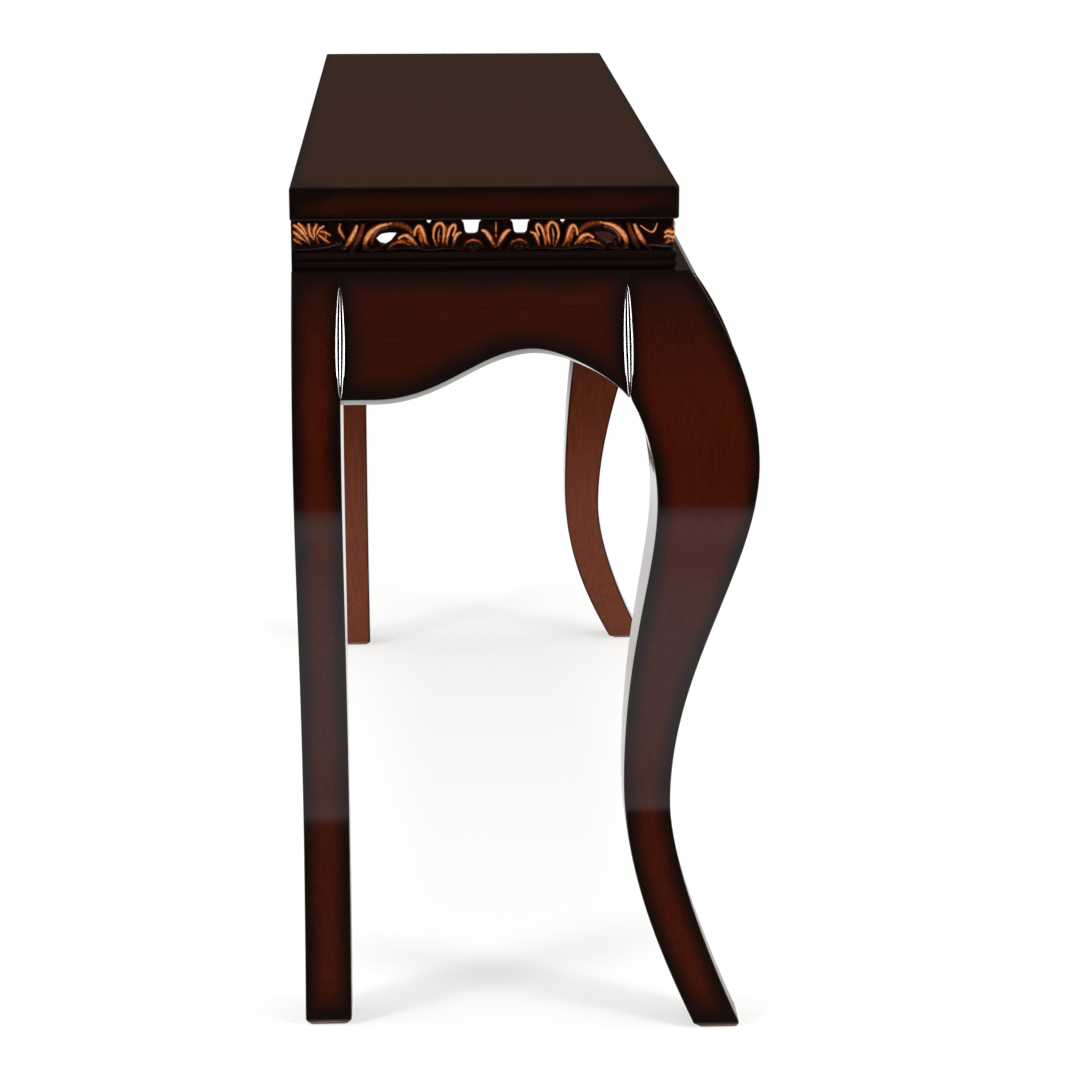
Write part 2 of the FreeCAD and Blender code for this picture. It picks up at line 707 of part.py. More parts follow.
def end_frieze_dowels():
    """Return the dowels under the left frieze."""
    middle_x = -LEDGE_END_X + FRIEZE_THICKNESS / 2
    ends = (LEDGE_FRONT_Y + FRIEZE_DOWEL_END_GAP, BACK_Y - FRIEZE_DOWEL_END_GAP)
    return [frieze_dowel(Vec(middle_x, y, 0)) for y in ends]


def long_frieze_dowels(outer_y, inward):
    """Return the left-hand dowels under a frieze that runs along the table."""
    middle_y = outer_y + inward * FRIEZE_THICKNESS / 2
    places = (-LEDGE_END_X + FRIEZE_DOWEL_END_GAP, -FRONT_MOTIF_PITCH / 2)
    return [frieze_dowel(Vec(x, middle_y, 0)) for x in places]


def pins_of(pairs):
    """Return the fasteners from pairs of a fastener and its hole."""
    return [pair[0] for pair in pairs]


def holes_of(pairs):
    """Return the holes from pairs of a fastener and its hole."""
    return [pair[1] for pair in pairs]


def both_ends(shapes):
    """Return shapes of the left half with their twins on the right."""
    return shapes + [mirrored(shape) for shape in shapes]


def write(name, *solids):
    """Write one node, a single solid or a group of separate ones."""
    shape = solids[0] if len(solids) == 1 else Part.makeCompound(list(solids))
    shape.exportStep(os.path.join("parts", name + ".step"))
    print(name, len(shape.Solids), "solid(s)", round(shape.Volume / 1000, 1), "cm3", shape.isValid())


def write_twins(name, left):
    """Write a left piece and its right twin. The name holds a place for the side."""
    write(name.format("left"), left)
    write(name.format("right"), mirrored(left))


def main():
    """Build every piece and write it."""
    os.makedirs("parts", exist_ok=True)

    # Joints of the legs with the aprons and the braces
    left_front_joint = end_dowels(JOINT_FRONT_Y)
    left_back_joint = end_dowels(JOINT_BACK_Y)
    front_joint = front_dowels()
    back_joint = back_dowels()
    front_hanger = hanger_set(JOINT_FRONT_Y, 1)
    back_hanger = hanger_set(JOINT_BACK_Y, -1)
    hanger_sets = (front_hanger, back_hanger)

    # Joints of the ledge, the frieze and the top
    front_inner_y = LEDGE_FRONT_Y + FRIEZE_THICKNESS
    back_inner_y = BACK_Y - FRIEZE_THICKNESS
    post_pairs = [post_screw(front_inner_y, 1), post_screw(back_inner_y, -1)]
    bearer_pairs = bearer_screws()
    front_brace_pair = brace_screw(JOINT_FRONT_Y, 1)
    back_brace_pair = brace_screw(JOINT_BACK_Y, -1)
    brace_pairs = [front_brace_pair, back_brace_pair]
    end_pins = end_frieze_dowels()
    front_pins = long_frieze_dowels(LEDGE_FRONT_Y, 1)
    back_pins = long_frieze_dowels(BACK_Y, -1)

    # Legs
    front_holes = holes_of(left_front_joint + front_joint) + [front_hanger[3]]
    back_holes = holes_of(left_back_joint + back_joint) + [back_hanger[3]]
    write_twins("leg_front_{}", drilled(front_leg(), front_holes))
    write_twins("leg_back_{}", drilled(back_leg(), back_holes))

    # Aprons
    write_twins("apron_{}", drilled(end_apron(), holes_of(left_front_joint + left_back_joint)))
    write("apron_front", drilled(front_apron(), both_ends(holes_of(front_joint))))
    write("apron_back", drilled(back_apron(), both_ends(holes_of(back_joint))))

    # Reeds
    write_twins("reeds_{}_front", reed_strip(end_place, INWARDS, JOINT_FRONT_Y))
    write_twins("reeds_{}_back", reed_strip(end_place, INWARDS, JOINT_BACK_Y))
    write_twins("reeds_front_{}", reed_strip(front_place, ACROSS, -JOINT_END_X))

    # Ledge and frieze
    ledge_holes = both_ends(holes_of(post_pairs + brace_pairs + end_pins + front_pins + back_pins))
    write_twins("ledge_{}", drilled(frame_piece(ledge_outline, "left"), ledge_holes))
    write("ledge_front", drilled(frame_piece(ledge_outline, "front"), ledge_holes))
    write("ledge_back", drilled(frame_piece(ledge_outline, "back"), ledge_holes))
    write_twins("frieze_{}", drilled(end_frieze(), holes_of(end_pins)))
    write("frieze_front", drilled(front_frieze(), both_ends(holes_of(front_pins))))
    write("frieze_back", drilled(frame_piece(frieze_outline, "back"), both_ends(holes_of(back_pins))))

    # Top and what holds it
    top_holes = both_ends(holes_of(post_pairs + bearer_pairs))
    write("table_top", drilled(table_top(), top_holes))
    write_twins("corner_post_front_{}", drilled(corner_post(front_inner_y, 1), holes_of(post_pairs)))
    write_twins("corner_post_back_{}", drilled(corner_post(back_inner_y, -1), holes_of(post_pairs)))
    write_twins("top_bearer_{}", drilled(top_bearer(), holes_of(bearer_pairs)))

    # Corner braces
    write_twins("corner_brace_front_{}", drilled(front_brace(), [front_hanger[4], front_brace_pair[1]]))
    write_twins("corner_brace_back_{}", drilled(back_brace(), [back_hanger[4], back_brace_pair[1]]))

    # Fasteners, one node for each kind
    write("hanger_bolts", *both_ends([parts[0] for parts in hanger_sets]))
    write("hanger_washers", *both_ends([parts[1] for parts in hanger_sets]))
    write("hanger_nuts", *both_ends([parts[2] for parts in hanger_sets]))
    write("apron_dowels", *both_ends(pins_of(left_front_joint + left_back_joint + front_joint + back_joint)))
    write("frieze_dowels", *both_ends(pins_of(end_pins + front_pins + back_pins)))
    write("post_screws", *both_ends(pins_of(post_pairs)))
    write("bearer_screws", *both_ends(pins_of(bearer_pairs)))
    write("brace_screws", *both_ends(pins_of(brace_pairs)))


main()
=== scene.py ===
"""The looks of a pier table: dark lacquered mahogany, cabriole legs and a carved frieze picked out in gilt.

Sizes are in millimetres and meshes in metres. +X runs along the table, the front faces -Y and +Z is up.
"""

import json
import logging
import math
from contextlib import contextmanager
from dataclasses import dataclass, replace
from enum import Enum
from functools import lru_cache
from typing import Callable, Iterator, Sequence

import bmesh
import bpy
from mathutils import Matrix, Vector
from mathutils.kdtree import KDTree

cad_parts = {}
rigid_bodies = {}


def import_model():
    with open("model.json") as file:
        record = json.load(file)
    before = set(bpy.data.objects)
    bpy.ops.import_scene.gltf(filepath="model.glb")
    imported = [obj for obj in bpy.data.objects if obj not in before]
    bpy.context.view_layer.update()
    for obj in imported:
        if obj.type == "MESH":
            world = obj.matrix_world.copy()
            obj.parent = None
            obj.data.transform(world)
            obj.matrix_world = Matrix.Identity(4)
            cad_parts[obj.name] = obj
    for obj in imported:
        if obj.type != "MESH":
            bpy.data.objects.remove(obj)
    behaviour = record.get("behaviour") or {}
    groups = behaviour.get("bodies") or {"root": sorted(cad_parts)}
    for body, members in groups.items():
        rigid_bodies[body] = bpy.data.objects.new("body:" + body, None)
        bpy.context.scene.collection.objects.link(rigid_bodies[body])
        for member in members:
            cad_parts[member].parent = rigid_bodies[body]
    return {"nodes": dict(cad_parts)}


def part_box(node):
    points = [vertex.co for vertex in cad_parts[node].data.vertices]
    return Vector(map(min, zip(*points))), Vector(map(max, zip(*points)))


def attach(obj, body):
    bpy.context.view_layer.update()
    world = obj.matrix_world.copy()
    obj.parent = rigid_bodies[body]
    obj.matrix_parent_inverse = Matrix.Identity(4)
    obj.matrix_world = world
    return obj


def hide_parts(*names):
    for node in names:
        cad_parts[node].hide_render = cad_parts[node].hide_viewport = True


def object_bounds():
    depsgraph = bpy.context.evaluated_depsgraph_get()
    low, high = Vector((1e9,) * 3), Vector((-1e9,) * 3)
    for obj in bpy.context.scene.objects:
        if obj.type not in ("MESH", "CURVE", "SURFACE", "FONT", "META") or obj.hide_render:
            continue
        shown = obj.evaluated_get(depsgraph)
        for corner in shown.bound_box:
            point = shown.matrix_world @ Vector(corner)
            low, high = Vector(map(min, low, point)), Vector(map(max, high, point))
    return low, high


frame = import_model()
CAD_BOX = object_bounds()

LOG = logging.getLogger("pier_table")
MM = 0.001
BODY = "root"

# A fold sharper than this is an edge that is eased, and that the sprayed shading starts from
SHARP_DEGREES = 35.0
# Spacing of the points that stand for the sharp edges when distances to them are taken
EDGE_STEP = 2.0
# Points nearer to each other than this are merged
MERGE_WITHIN = 0.01
# How often a curve is halved to find a place on it
HALVINGS = 40
EDGE_ATTRIBUTE = "edge_mm"
# The gold narrowed onto each crest is partly a painted highlight, and the darkening with depth to near-black
# hollows is partly painted shade
GILT_AND_CREST_LIGHT_ATTRIBUTE = "gilt"
RELIEF_SHADE_ATTRIBUTE = "relief"

# How a node mixes colours, where inputs 0, 6 and 7 are the share and the two colours
COLOURS = {"data_type": "RGBA", "out": 2}
# How a node eases a value in and out
EASED = {"interpolation_type": "SMOOTHSTEP"}

Point = tuple[float, float, float]
Rule = Callable[[float, float, float], Point]
Wanted = Callable[[Vector, Vector], bool]
Pole = tuple[float, float]
Span = tuple[float, float]
Piece = bpy.types.Object
Material = bpy.types.Material
Tree = bpy.types.NodeTree
Socket = bpy.types.NodeSocket
Colour = Socket | tuple[float, float, float, float]


class Row(Enum):
    """The front or the back of the table."""

    FRONT = "front"
    BACK = "back"


class Run(Enum):
    """A side of the table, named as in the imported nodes. The right end is a mirrored copy of the left."""

    FRONT = "front"
    LEFT = "left"
    BACK = "back"


class Slot(Enum):
    """The record's material slot names. No piece here is given a slot."""

    MAHOGANY = "mahogany_lacquer"
    DARK = "dark_lacquer"
    GILT = "gilded_carving"


def lerp(start: float, end: float, share: float) -> float:
    """Return the value at a share of the way from start to end."""
    return start + (end - start) * share


def smooth(share: float) -> float:
    """Return a share eased in and out, held between 0 and 1."""
    share = min(max(share, 0.0), 1.0)
    return share * share * (3 - 2 * share)


def bezier(poles: Sequence[Pole], share: float) -> list[float]:
    """Return the point at a share of the way along a Bezier curve.

    Args:
        poles: The curve's poles.
        share: How far along the curve, from 0 to 1.

    Returns:
        The point's coordinates.
    """
    points = [list(pole) for pole in poles]
    while len(points) > 1:
        points = [[lerp(p, q, share) for p, q in zip(a, b)] for a, b in zip(points, points[1:])]
    return points[0]


def bezier_across(poles: Sequence[Pole], place: float, axis: int) -> float:
    """Return a flat Bezier curve's other coordinate where one coordinate reaches a place.

    Args:
        poles: The curve's poles.
        place: The value that the coordinate reaches.
        axis: Which coordinate that is, running steadily along the curve.

    Returns:
        The other coordinate there.
    """
    low, high = 0.0, 1.0
    rising = poles[-1][axis] > poles[0][axis]
    for _ in range(HALVINGS):
        middle = (low + high) / 2
        if (bezier(poles, middle)[axis] < place) == rising:
            low = middle
        else:
            high = middle
    return bezier(poles, low)[1 - axis]


def through(places: Sequence[Vector], share: float) -> Vector:
    """Return the point at a share of a smooth line that passes through places.

    Args:
        places: The places, in order.
        share: How far along the line, from 0 to 1.

    Returns:
        The point.
    """
    runs = len(places) - 1
    index = min(int(share * runs), runs - 1)
    t = share * runs - index
    before = places[max(index - 1, 0)]
    start, end = places[index], places[index + 1]
    after = places[min(index + 2, runs)]
    rise = (end - before) / 2
    fall = (after - start) / 2
    blend = 3 * t * t - 2 * t ** 3
    return start.lerp(end, blend) + rise * (t - 2 * t * t + t ** 3) + fall * (t ** 3 - t * t)


def span(node: str) -> tuple[Vector, Vector]:
    """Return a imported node's lowest and highest corners in millimetres."""
    low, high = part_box(node)
    return Vector(low) / MM, Vector(high) / MM


@dataclass(frozen=True)
class Places:
    """Where the table's main faces lie, in millimetres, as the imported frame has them."""

    top_end_x: float
    top_front_y: float
    top_back_y: float
    top_z: float
    underside_z: float
    ledge_end_x: float
    ledge_front_y: float
    back_y: float
    ledge_z: float
    frieze_z: float
    joint_end_x: float
    joint_front_y: float
    joint_back_y: float

    @classmethod
    def from_frame(cls) -> "Places":
        """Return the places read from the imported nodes.

        Returns:
            The places.
        """
        top_low, top_high = span("table_top")
        ledge_low, ledge_high = span("ledge_left")
        front_low, front_high = span("ledge_front")
        apron_low, apron_high = span("apron_left")
        _, joint_high = span("apron_front")
        return cls(
            top_end_x=top_high.x,
            top_front_y=top_low.y,
            top_back_y=top_high.y,
            top_z=top_high.z,
            underside_z=top_low.z,
            ledge_end_x=front_high.x,
            ledge_front_y=front_low.y,
            back_y=ledge_high.y,
            ledge_z=ledge_low.z,
            frieze_z=ledge_high.z,
            joint_end_x=joint_high.x,
            joint_front_y=apron_low.y,
            joint_back_y=apron_high.y,
        )


def pick(piece: Piece) -> None:
    """Make a piece the only selected object and the active one.

    Args:
        piece: The piece.
    """
    bpy.ops.object.select_all(action="DESELECT")
    piece.select_set(True)
    bpy.context.view_layer.objects.active = piece


def rename(piece: Piece, name: str) -> Piece:
    """Return a piece with its object and its mesh renamed.

    Args:
        piece: The piece.
        name: Its new name.

    Returns:
        The piece.
    """
    piece.name = name
    piece.data.name = name
    return piece


@contextmanager
def editing(piece: Piece, action: str = "SELECT") -> Iterator[None]:
    """Hold a piece in edit mode, with everything in it selected or deselected.

    Args:
        piece: The piece.
        action: What is done to the selection at first.

    Yields:
        Nothing, while the piece is in edit mode.
    """
    pick(piece)
    bpy.ops.object.mode_set(mode="EDIT")
    bpy.ops.mesh.select_mode(type="EDGE")
    bpy.ops.mesh.select_all(action=action)
    yield
    bpy.ops.object.mode_set(mode="OBJECT")


def face_outwards(piece: Piece) -> None:
    """Merge a piece's doubled points and turn its faces outwards.

    Args:
        piece: The piece.
    """
    with editing(piece):
        bpy.ops.mesh.remove_doubles(threshold=MERGE_WITHIN * MM)
        bpy.ops.mesh.normals_make_consistent(inside=False)


def block(name: str, cells: tuple[int, int, int], rule: Rule) -> Piece:
    """Model a block: a grid extruded layer by layer, then laid out by a rule.

    Args:
        name: The piece's name.
        cells: How many cells the block has each way.
        rule: Maps a point of the unit block to a place in millimetres.

    Returns:
        The block.
    """
    bpy.ops.object.select_all(action="DESELECT")
    bpy.ops.mesh.primitive_grid_add(x_subdivisions=cells[0], y_subdivisions=cells[1], size=1)
    piece = rename(bpy.context.active_object, name)
    with editing(piece):
        for _ in range(cells[2]):
            bpy.ops.mesh.extrude_region_move(TRANSFORM_OT_translate={"value": (0, 0, 1 / cells[2])})
    for vertex in piece.data.vertices:
        unit = vertex.co
        vertex.co = Vector(rule(unit.x + 0.5, unit.y + 0.5, unit.z)) * MM
    face_outwards(piece)
    return piece


def ease_edges(piece: Piece, width: float, segments: int, wanted: Wanted | None = None) -> None:
    """Bevel a piece's sharp edges.

    Args:
        piece: The piece.
        width: The bevel's width in millimetres.
        segments: How many steps round the edge.
        wanted: Says from its two ends whether a sharp edge is eased. Every one is, if left out.
    """
    with editing(piece, "DESELECT"):
        bpy.ops.mesh.edges_select_sharp(sharpness=math.radians(SHARP_DEGREES))
        if wanted is not None:
            bpy.ops.object.mode_set(mode="OBJECT")
            points = piece.data.vertices
            for edge in piece.data.edges:
                ends = [points[index].co / MM for index in edge.vertices]
                edge.select = edge.select and wanted(*ends)
            bpy.ops.object.mode_set(mode="EDIT")
        bpy.ops.mesh.bevel(offset=width * MM, segments=segments, affect="EDGES")


def add_modifier(piece: Piece, kind: str, **settings: object) -> None:
    """Add a modifier with its settings to a piece and apply it.

    Args:
        piece: The piece.
        kind: The modifier's type.
        settings: Its properties.
    """
    pick(piece)
    bpy.ops.object.modifier_add(type=kind)
    modifier = piece.modifiers[-1]
    for name, value in settings.items():
        setattr(modifier, name, value)
    bpy.ops.object.modifier_apply(modifier=modifier.name)


def join(pieces: Sequence[Piece], name: str) -> Piece:
    """Return objects joined into the first of them, under a new name.

    Args:
        pieces: The objects.
        name: The new name.

    Returns:
        The joined piece.
    """
    bpy.ops.object.select_all(action="DESELECT")
    for piece in pieces:
        piece.select_set(True)
    bpy.context.view_layer.objects.active = pieces[0]
    bpy.ops.object.join()
    return rename(pieces[0], name)


def mirrored(piece: Piece) -> Piece:
    """Return a copy of a left-hand piece, with its own mesh, mirrored to the table's right-hand end.

    Args:
        piece: The left-hand piece.

    Returns:
        The right-hand piece.
    """
    pick(piece)
    bpy.ops.object.duplicate(linked=False)
    twin = rename(bpy.context.active_object, piece.name.replace("left", "right"))
    twin.scale.x = -1
    bpy.ops.object.transform_apply(location=False, rotation=False, scale=True)
    face_outwards(twin)
    return twin


def search_tree(points: Sequence[Vector]) -> KDTree:
    """Return points ready to be searched for the nearest one.

    Args:
        points: The points.

    Returns:
        The tree, which numbers the points in their order.
    """
    tree = KDTree(len(points))
    for index, point in enumerate(points):
        tree.insert(point, index)
    tree.balance()
    return tree


def sharp_edge_points(piece: Piece) -> KDTree:
    """Return points along a piece's sharp edges, in millimetres, ready to be searched.

    Args:
        piece: The piece.

    Returns:
        The points.
    """
    mesh = bmesh.new()
    mesh.from_mesh(piece.data)
    points = []
    for edge in mesh.edges:
        if edge.calc_face_angle(0.0) < math.radians(SHARP_DEGREES):
            continue
        start, end = (vertex.co / MM for vertex in edge.verts)
        steps = max(1, round((end - start).length / EDGE_STEP))
        points += [start.lerp(end, step / steps) for step in range(steps + 1)]
    mesh.free()
    return search_tree(points)


def set_attribute(piece: Piece, name: str, values: Sequence[float]) -> None:
    """Store one number per point on a piece, for its material to read."""
    attribute = piece.data.attributes.new(name, "FLOAT", "POINT")
    attribute.data.foreach_set("value", list(values))


def finish_edges(piece: Piece, *eases: tuple[float, int] | tuple[float, int, Wanted]) -> None:
    """Ease a piece's sharp edges, and store how far each of its points lies from where they were.

    Args:
        piece: The piece.
        eases: For each round of easing, what ease_edges takes after the piece.
    """
    edges = sharp_edge_points(piece)
    for ease in eases:
        ease_edges(piece, *ease)
    set_attribute(piece, EDGE_ATTRIBUTE, [edges.find(vertex.co / MM)[2] for vertex in piece.data.vertices])


def dress(piece: Piece, finishes: Sequence[Material], node: str) -> list[Piece]:
    """Shade a piece and give it its materials and its place in the frame.

    A left-hand piece is first copied to the right-hand end, and its copy is dressed as it is.

    Args:
        piece: The finished piece.
        finishes: Its materials, in the order of its faces' material numbers.
        node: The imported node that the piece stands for.

    Returns:
        The dressed pieces.
    """
    pieces = {node: piece}
    if "left" in node:
        pieces[node.replace("left", "right")] = mirrored(piece)
    for name, one in pieces.items():
        pick(one)
        bpy.ops.object.shade_smooth_by_angle(angle=math.radians(SHARP_DEGREES))
        # Broad faces stay flat up to their eased edges
        add_modifier(one, "WEIGHTED_NORMAL", keep_sharp=True)
        for finish in finishes:
            one.data.materials.append(finish)
        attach(one, BODY)
        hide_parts(name)
        LOG.info("%s: %d faces for %s", one.name, len(one.data.polygons), name)
    return list(pieces.values())


def linear(colour: str) -> tuple[float, float, float, float]:
    """Return an sRGB hex colour as linear red, green, blue and alpha.

    Args:
        colour: The colour, as # and six digits.

    Returns:
        The linear colour.
    """
    parts = [int(colour[at:at + 2], 16) / 255 for at in (1, 3, 5)]
    bright = [part / 12.92 if part <= 0.04045 else ((part + 0.055) / 1.055) ** 2.4 for part in parts]
    return (*bright, 1.0)


def add_node(
    tree: Tree,
    kind: str,
    inputs: dict[str | int, object] | Sequence[object] = (),
    out: str | int | None = 0,
    **settings: object,
) -> Socket | bpy.types.Node:
    """Add a shader node with its settings and links.

    Args:
        tree: The node tree.
        kind: The node's type, without the words that all shader nodes start with.
        inputs: The sockets or values of its inputs, by name or number, or in order from the first.
        out: The output to return, by name or number, or None for the node itself.
        settings: The node's properties.

    Returns:
        The output, or the node.
    """
    node = tree.nodes.new(f"ShaderNode{kind}")
    for name, value in settings.items():
        setattr(node, name, value)
    for key, value in inputs.items() if isinstance(inputs, dict) else enumerate(inputs):
        if isinstance(value, Socket):
            tree.links.new(value, node.inputs[key])
        else:
            node.inputs[key].default_value = value
    return node if out is None else node.outputs[out]


def lay_over(
    tree: Tree, colour: Colour, layers: Sequence[tuple[Socket, float, float, Colour]]
) -> tuple[Colour, Socket | float]:
    """Lay colours over one another.

    Args:
        tree: The node tree.
        colour: The colour underneath.
        layers: For each layer the pattern that it follows, where in it the layer begins and is full, and
            the layer's colour.

    Returns:
        The colour that shows, and the share of it that is the last layer.
    """
    share = 0.0
    for pattern, begins, full, laid in layers:
        share = add_node(tree, "MapRange", (pattern, begins, full), **EASED)
        colour = add_node(tree, "Mix", {0: share, 6: colour, 7: laid}, **COLOURS)
    return colour, share


def new_material(name: str) -> tuple[Material, Tree]:
    """Return an empty node material and its node tree.

    Args:
        name: The material's name.

    Returns:
        The material and its node tree.
    """
    material = bpy.data.materials.new(name)
    material.use_nodes = True
    material.node_tree.nodes.clear()
    return material, material.node_tree


def kinds_of_ray(tree: Tree) -> tuple[Socket, Socket]:
    """Return whether a ray comes straight from the camera, and whether by way of a gloss or of glass.

    Args:
        tree: The node tree.

    Returns:
        The two sockets, each 1 for such a ray and 0 for others.
    """
    path = add_node(tree, "LightPath", out=None).outputs
    ways = (path["Is Glossy Ray"], path["Is Transmission Ray"])
    return path["Is Camera Ray"], add_node(tree, "Math", ways, operation="MAXIMUM")


@dataclass(frozen=True)
class Grain:
    """Grain under a polish. Its lines are finer on the wood, and are drawn this coarse to show."""

    along: Point
    width: float = 2.2
    length: float = 160.0
    detail: float = 3.0
    waver: float = 0.4

    def pattern(self, tree: Tree, place: Socket) -> Socket:
        """Return the grain's pattern.

        Args:
            tree: The material's node tree.
            place: Where on the object a point lies, in metres.

        Returns:
            The pattern.
        """
        scale = [1 / lerp(self.width, self.length, along) / MM for along in self.along]
        lines = add_node(tree, "Mapping", {"Vector": place, "Scale": scale})
        look = {"Vector": lines, "Scale": 1.0, "Detail": self.detail, "Distortion": self.waver}
        return add_node(tree, "TexNoise", look)


@dataclass(frozen=True)
class SawnGrain(Grain):
    """The broader, more wavering grain of sawn wood, drawn coarser than it is to show."""

    width: float = 3.0
    length: float = 120.0
    detail: float = 4.0
    waver: float = 0.6


@dataclass(frozen=True)
class Finish:
    """A surface's finish, which becomes a material of the same name."""

    name: str

    def shader_inputs(self, tree: Tree, place: Socket) -> dict[str, object]:
        """Return what goes into each of the shader's inputs, from patterns on a place in metres."""
        raise NotImplementedError

    def material(self) -> Material:
        """Return the finish as a material.

        Returns:
            The material.
        """
        material, tree = new_material(self.name)
        place = add_node(tree, "TexCoord", out="Object")
        shader = add_node(tree, "BsdfPrincipled", self.shader_inputs(tree, place))
        add_node(tree, "OutputMaterial", {"Surface": shader}, out=None)
        return material


@dataclass(frozen=True)
class MahoganyLacquer(Finish):
    """Stained mahogany, shaded darker along its edges with a spray gun, under polished clear lacquer.

    The eye sees a red-brown middle that sinks to near black at every edge, fine straight grain under the
    surface, and a wet, sharp gloss on top.
    """

    heart: str
    # The streaks' colour is the heart's seen through this
    streak: str
    shade: str
    grain: Grain
    # How far in from an edge the sprayed shade begins to thin and ends, in millimetres
    sprayed: Span
    # Each colour laid over the heart by height: its colour, and the heights where it begins and where it is
    # full
    height_tones: tuple[tuple[str, float, float], ...] = ()
    # Where in the grain a streak begins and is full
    streaked: Span = (0.3, 0.75)
    pore_depth: float = 0.02
    pore_strength: float = 0.15
    # The spray drifts by this share of its reach, in clouds of this size
    drift: float = 0.5
    cloud_size: float = 60.0
    cloudy: Span = (0.3, 0.7)
    roughness: Span = (0.34, 0.39)
    # The wood itself hardly shines. How full the clear coat on it is, and how far from a mirror
    wood_gloss: float = 0.02
    lacquer: float = 1.0
    lacquer_roughness: float = 0.06
    lacquer_ior: float = 1.5

    def shader_inputs(self, tree: Tree, place: Socket) -> dict[str, object]:
        """Return the stained, shaded and lacquered wood.

        Args:
            tree: The material's node tree.
            place: Where on the object a point lies, in metres.

        Returns:
            The sockets or values of the shader's inputs.
        """
        grain = self.grain.pattern(tree, place)
        cloud_scale = 1 / (self.cloud_size * MM)
        cloud = add_node(tree, "TexNoise", {"Vector": place, "Scale": cloud_scale, "Detail": 1.0})
        height = add_node(tree, "SeparateXYZ", (place,), out="Z")
        height_tones = [(height, begins * MM, full * MM, linear(height_tone)) for height_tone, begins, full in self.height_tones]
        heart, _ = lay_over(tree, linear(self.heart), height_tones)
        seen_through = {0: 1.0, 6: heart, 7: linear(self.streak)}
        streak = add_node(tree, "Mix", seen_through, blend_type="MULTIPLY", **COLOURS)
        wood, _ = lay_over(tree, heart, [(grain, *self.streaked, streak)])
        edge = add_node(tree, "Attribute", out="Fac", attribute_name=EDGE_ATTRIBUTE)
        drift = self.sprayed[1] * self.drift
        drifted = add_node(tree, "Math", (cloud, drift, -drift / 2), operation="MULTIPLY_ADD")
        reach = add_node(tree, "Math", (edge, drifted), operation="ADD")
        colour, _ = lay_over(tree, linear(self.shade), [(reach, *self.sprayed, wood)])
        pores = {"Height": grain, "Strength": self.pore_strength, "Distance": self.pore_depth * MM}
        return {
            "Base Color": colour,
            "Roughness": add_node(tree, "MapRange", (cloud, *self.cloudy, *self.roughness)),
            "Specular IOR Level": self.wood_gloss,
            "Normal": add_node(tree, "Bump", pores),
            "Coat Weight": self.lacquer,
            "Coat Roughness": self.lacquer_roughness,
            "Coat IOR": self.lacquer_ior,
        }


@dataclass(frozen=True)
class GiltCarving(Finish):
    """Carved wood under black-brown lacquer, with bronze-gold wiped over the high parts.

    The eye sees copper and gold along the crests of the leaves, red-brown flanks and near-black hollows, all
    wet with gloss. The gold is wiped on, but its narrowing onto each crest is partly a painted highlight, and
    the fall to near-black in the hollows is partly painted shade.
    """

    # Near-black in the hollows: dark lacquer, deepened as painted shade
    hollow: str
    flank: str
    copper: str
    gold: str
    # The rag leaves the gold broken in patches of this size
    rub_size: float = 2.2
    rub_detail: float = 2.0
    rub_strength: float = 1.1
    rub_loss: float = 0.62
    rubbed: Span = (0.3, 0.7)
    # How high the flanks begin and are full over the hollows, partly painted shade, and how much gold makes
    # copper
    #     # and then gold of them, partly a painted highlight on the crests
    raised: Span = (0.1, 0.7)
    coppered: Span = (0.06, 0.44)
    gilded: Span = (0.42, 1.02)
    # Bronze powder in varnish shines only partly as metal
    metal: float = 0.2
    powder_depth: float = 0.08
    powder_strength: float = 0.25
    powder_gloss: float = 0.2
    roughness: Span = (0.3, 0.42)
    lacquer: float = 1.0
    lacquer_roughness: float = 0.08

    def shader_inputs(self, tree: Tree, place: Socket) -> dict[str, object]:
        """Return the lacquered carving with gold wiped on it.

        Args:
            tree: The material's node tree.
            place: Where on the object a point lies, in metres.

        Returns:
            The sockets or values of the shader's inputs.
        """
        rub_scale = 1 / (self.rub_size * MM)
        rub = add_node(tree, "TexNoise", {"Vector": place, "Scale": rub_scale, "Detail": self.rub_detail})
        gilt = add_node(tree, "Attribute", out="Fac", attribute_name=GILT_AND_CREST_LIGHT_ATTRIBUTE)
        relief = add_node(tree, "Attribute", out="Fac", attribute_name=RELIEF_SHADE_ATTRIBUTE)
        broken = add_node(tree, "Math", (rub, self.rub_strength, -self.rub_loss), operation="MULTIPLY_ADD")
        wiped = add_node(tree, "Math", (gilt, broken), operation="ADD")
        # Flanks over the hollows and gold on the crests, partly painted shade and partly painted highlight
        layers = (
            (relief, *self.raised, linear(self.flank)),
            (wiped, *self.coppered, linear(self.copper)),
            (wiped, *self.gilded, linear(self.gold)),
        )
        colour, gilded = lay_over(tree, linear(self.hollow), layers)
        powder = {"Height": rub, "Strength": self.powder_strength, "Distance": self.powder_depth * MM}
        return {
            "Base Color": colour,
            "Metallic": add_node(tree, "Math", (gilded, self.metal), operation="MULTIPLY"),
            "Roughness": add_node(tree, "MapRange", (rub, *self.rubbed, *self.roughness)),
            "Specular IOR Level": self.powder_gloss,
            "Normal": add_node(tree, "Bump", powder),
            "Coat Weight": self.lacquer,
            "Coat Roughness": self.lacquer_roughness,
        }


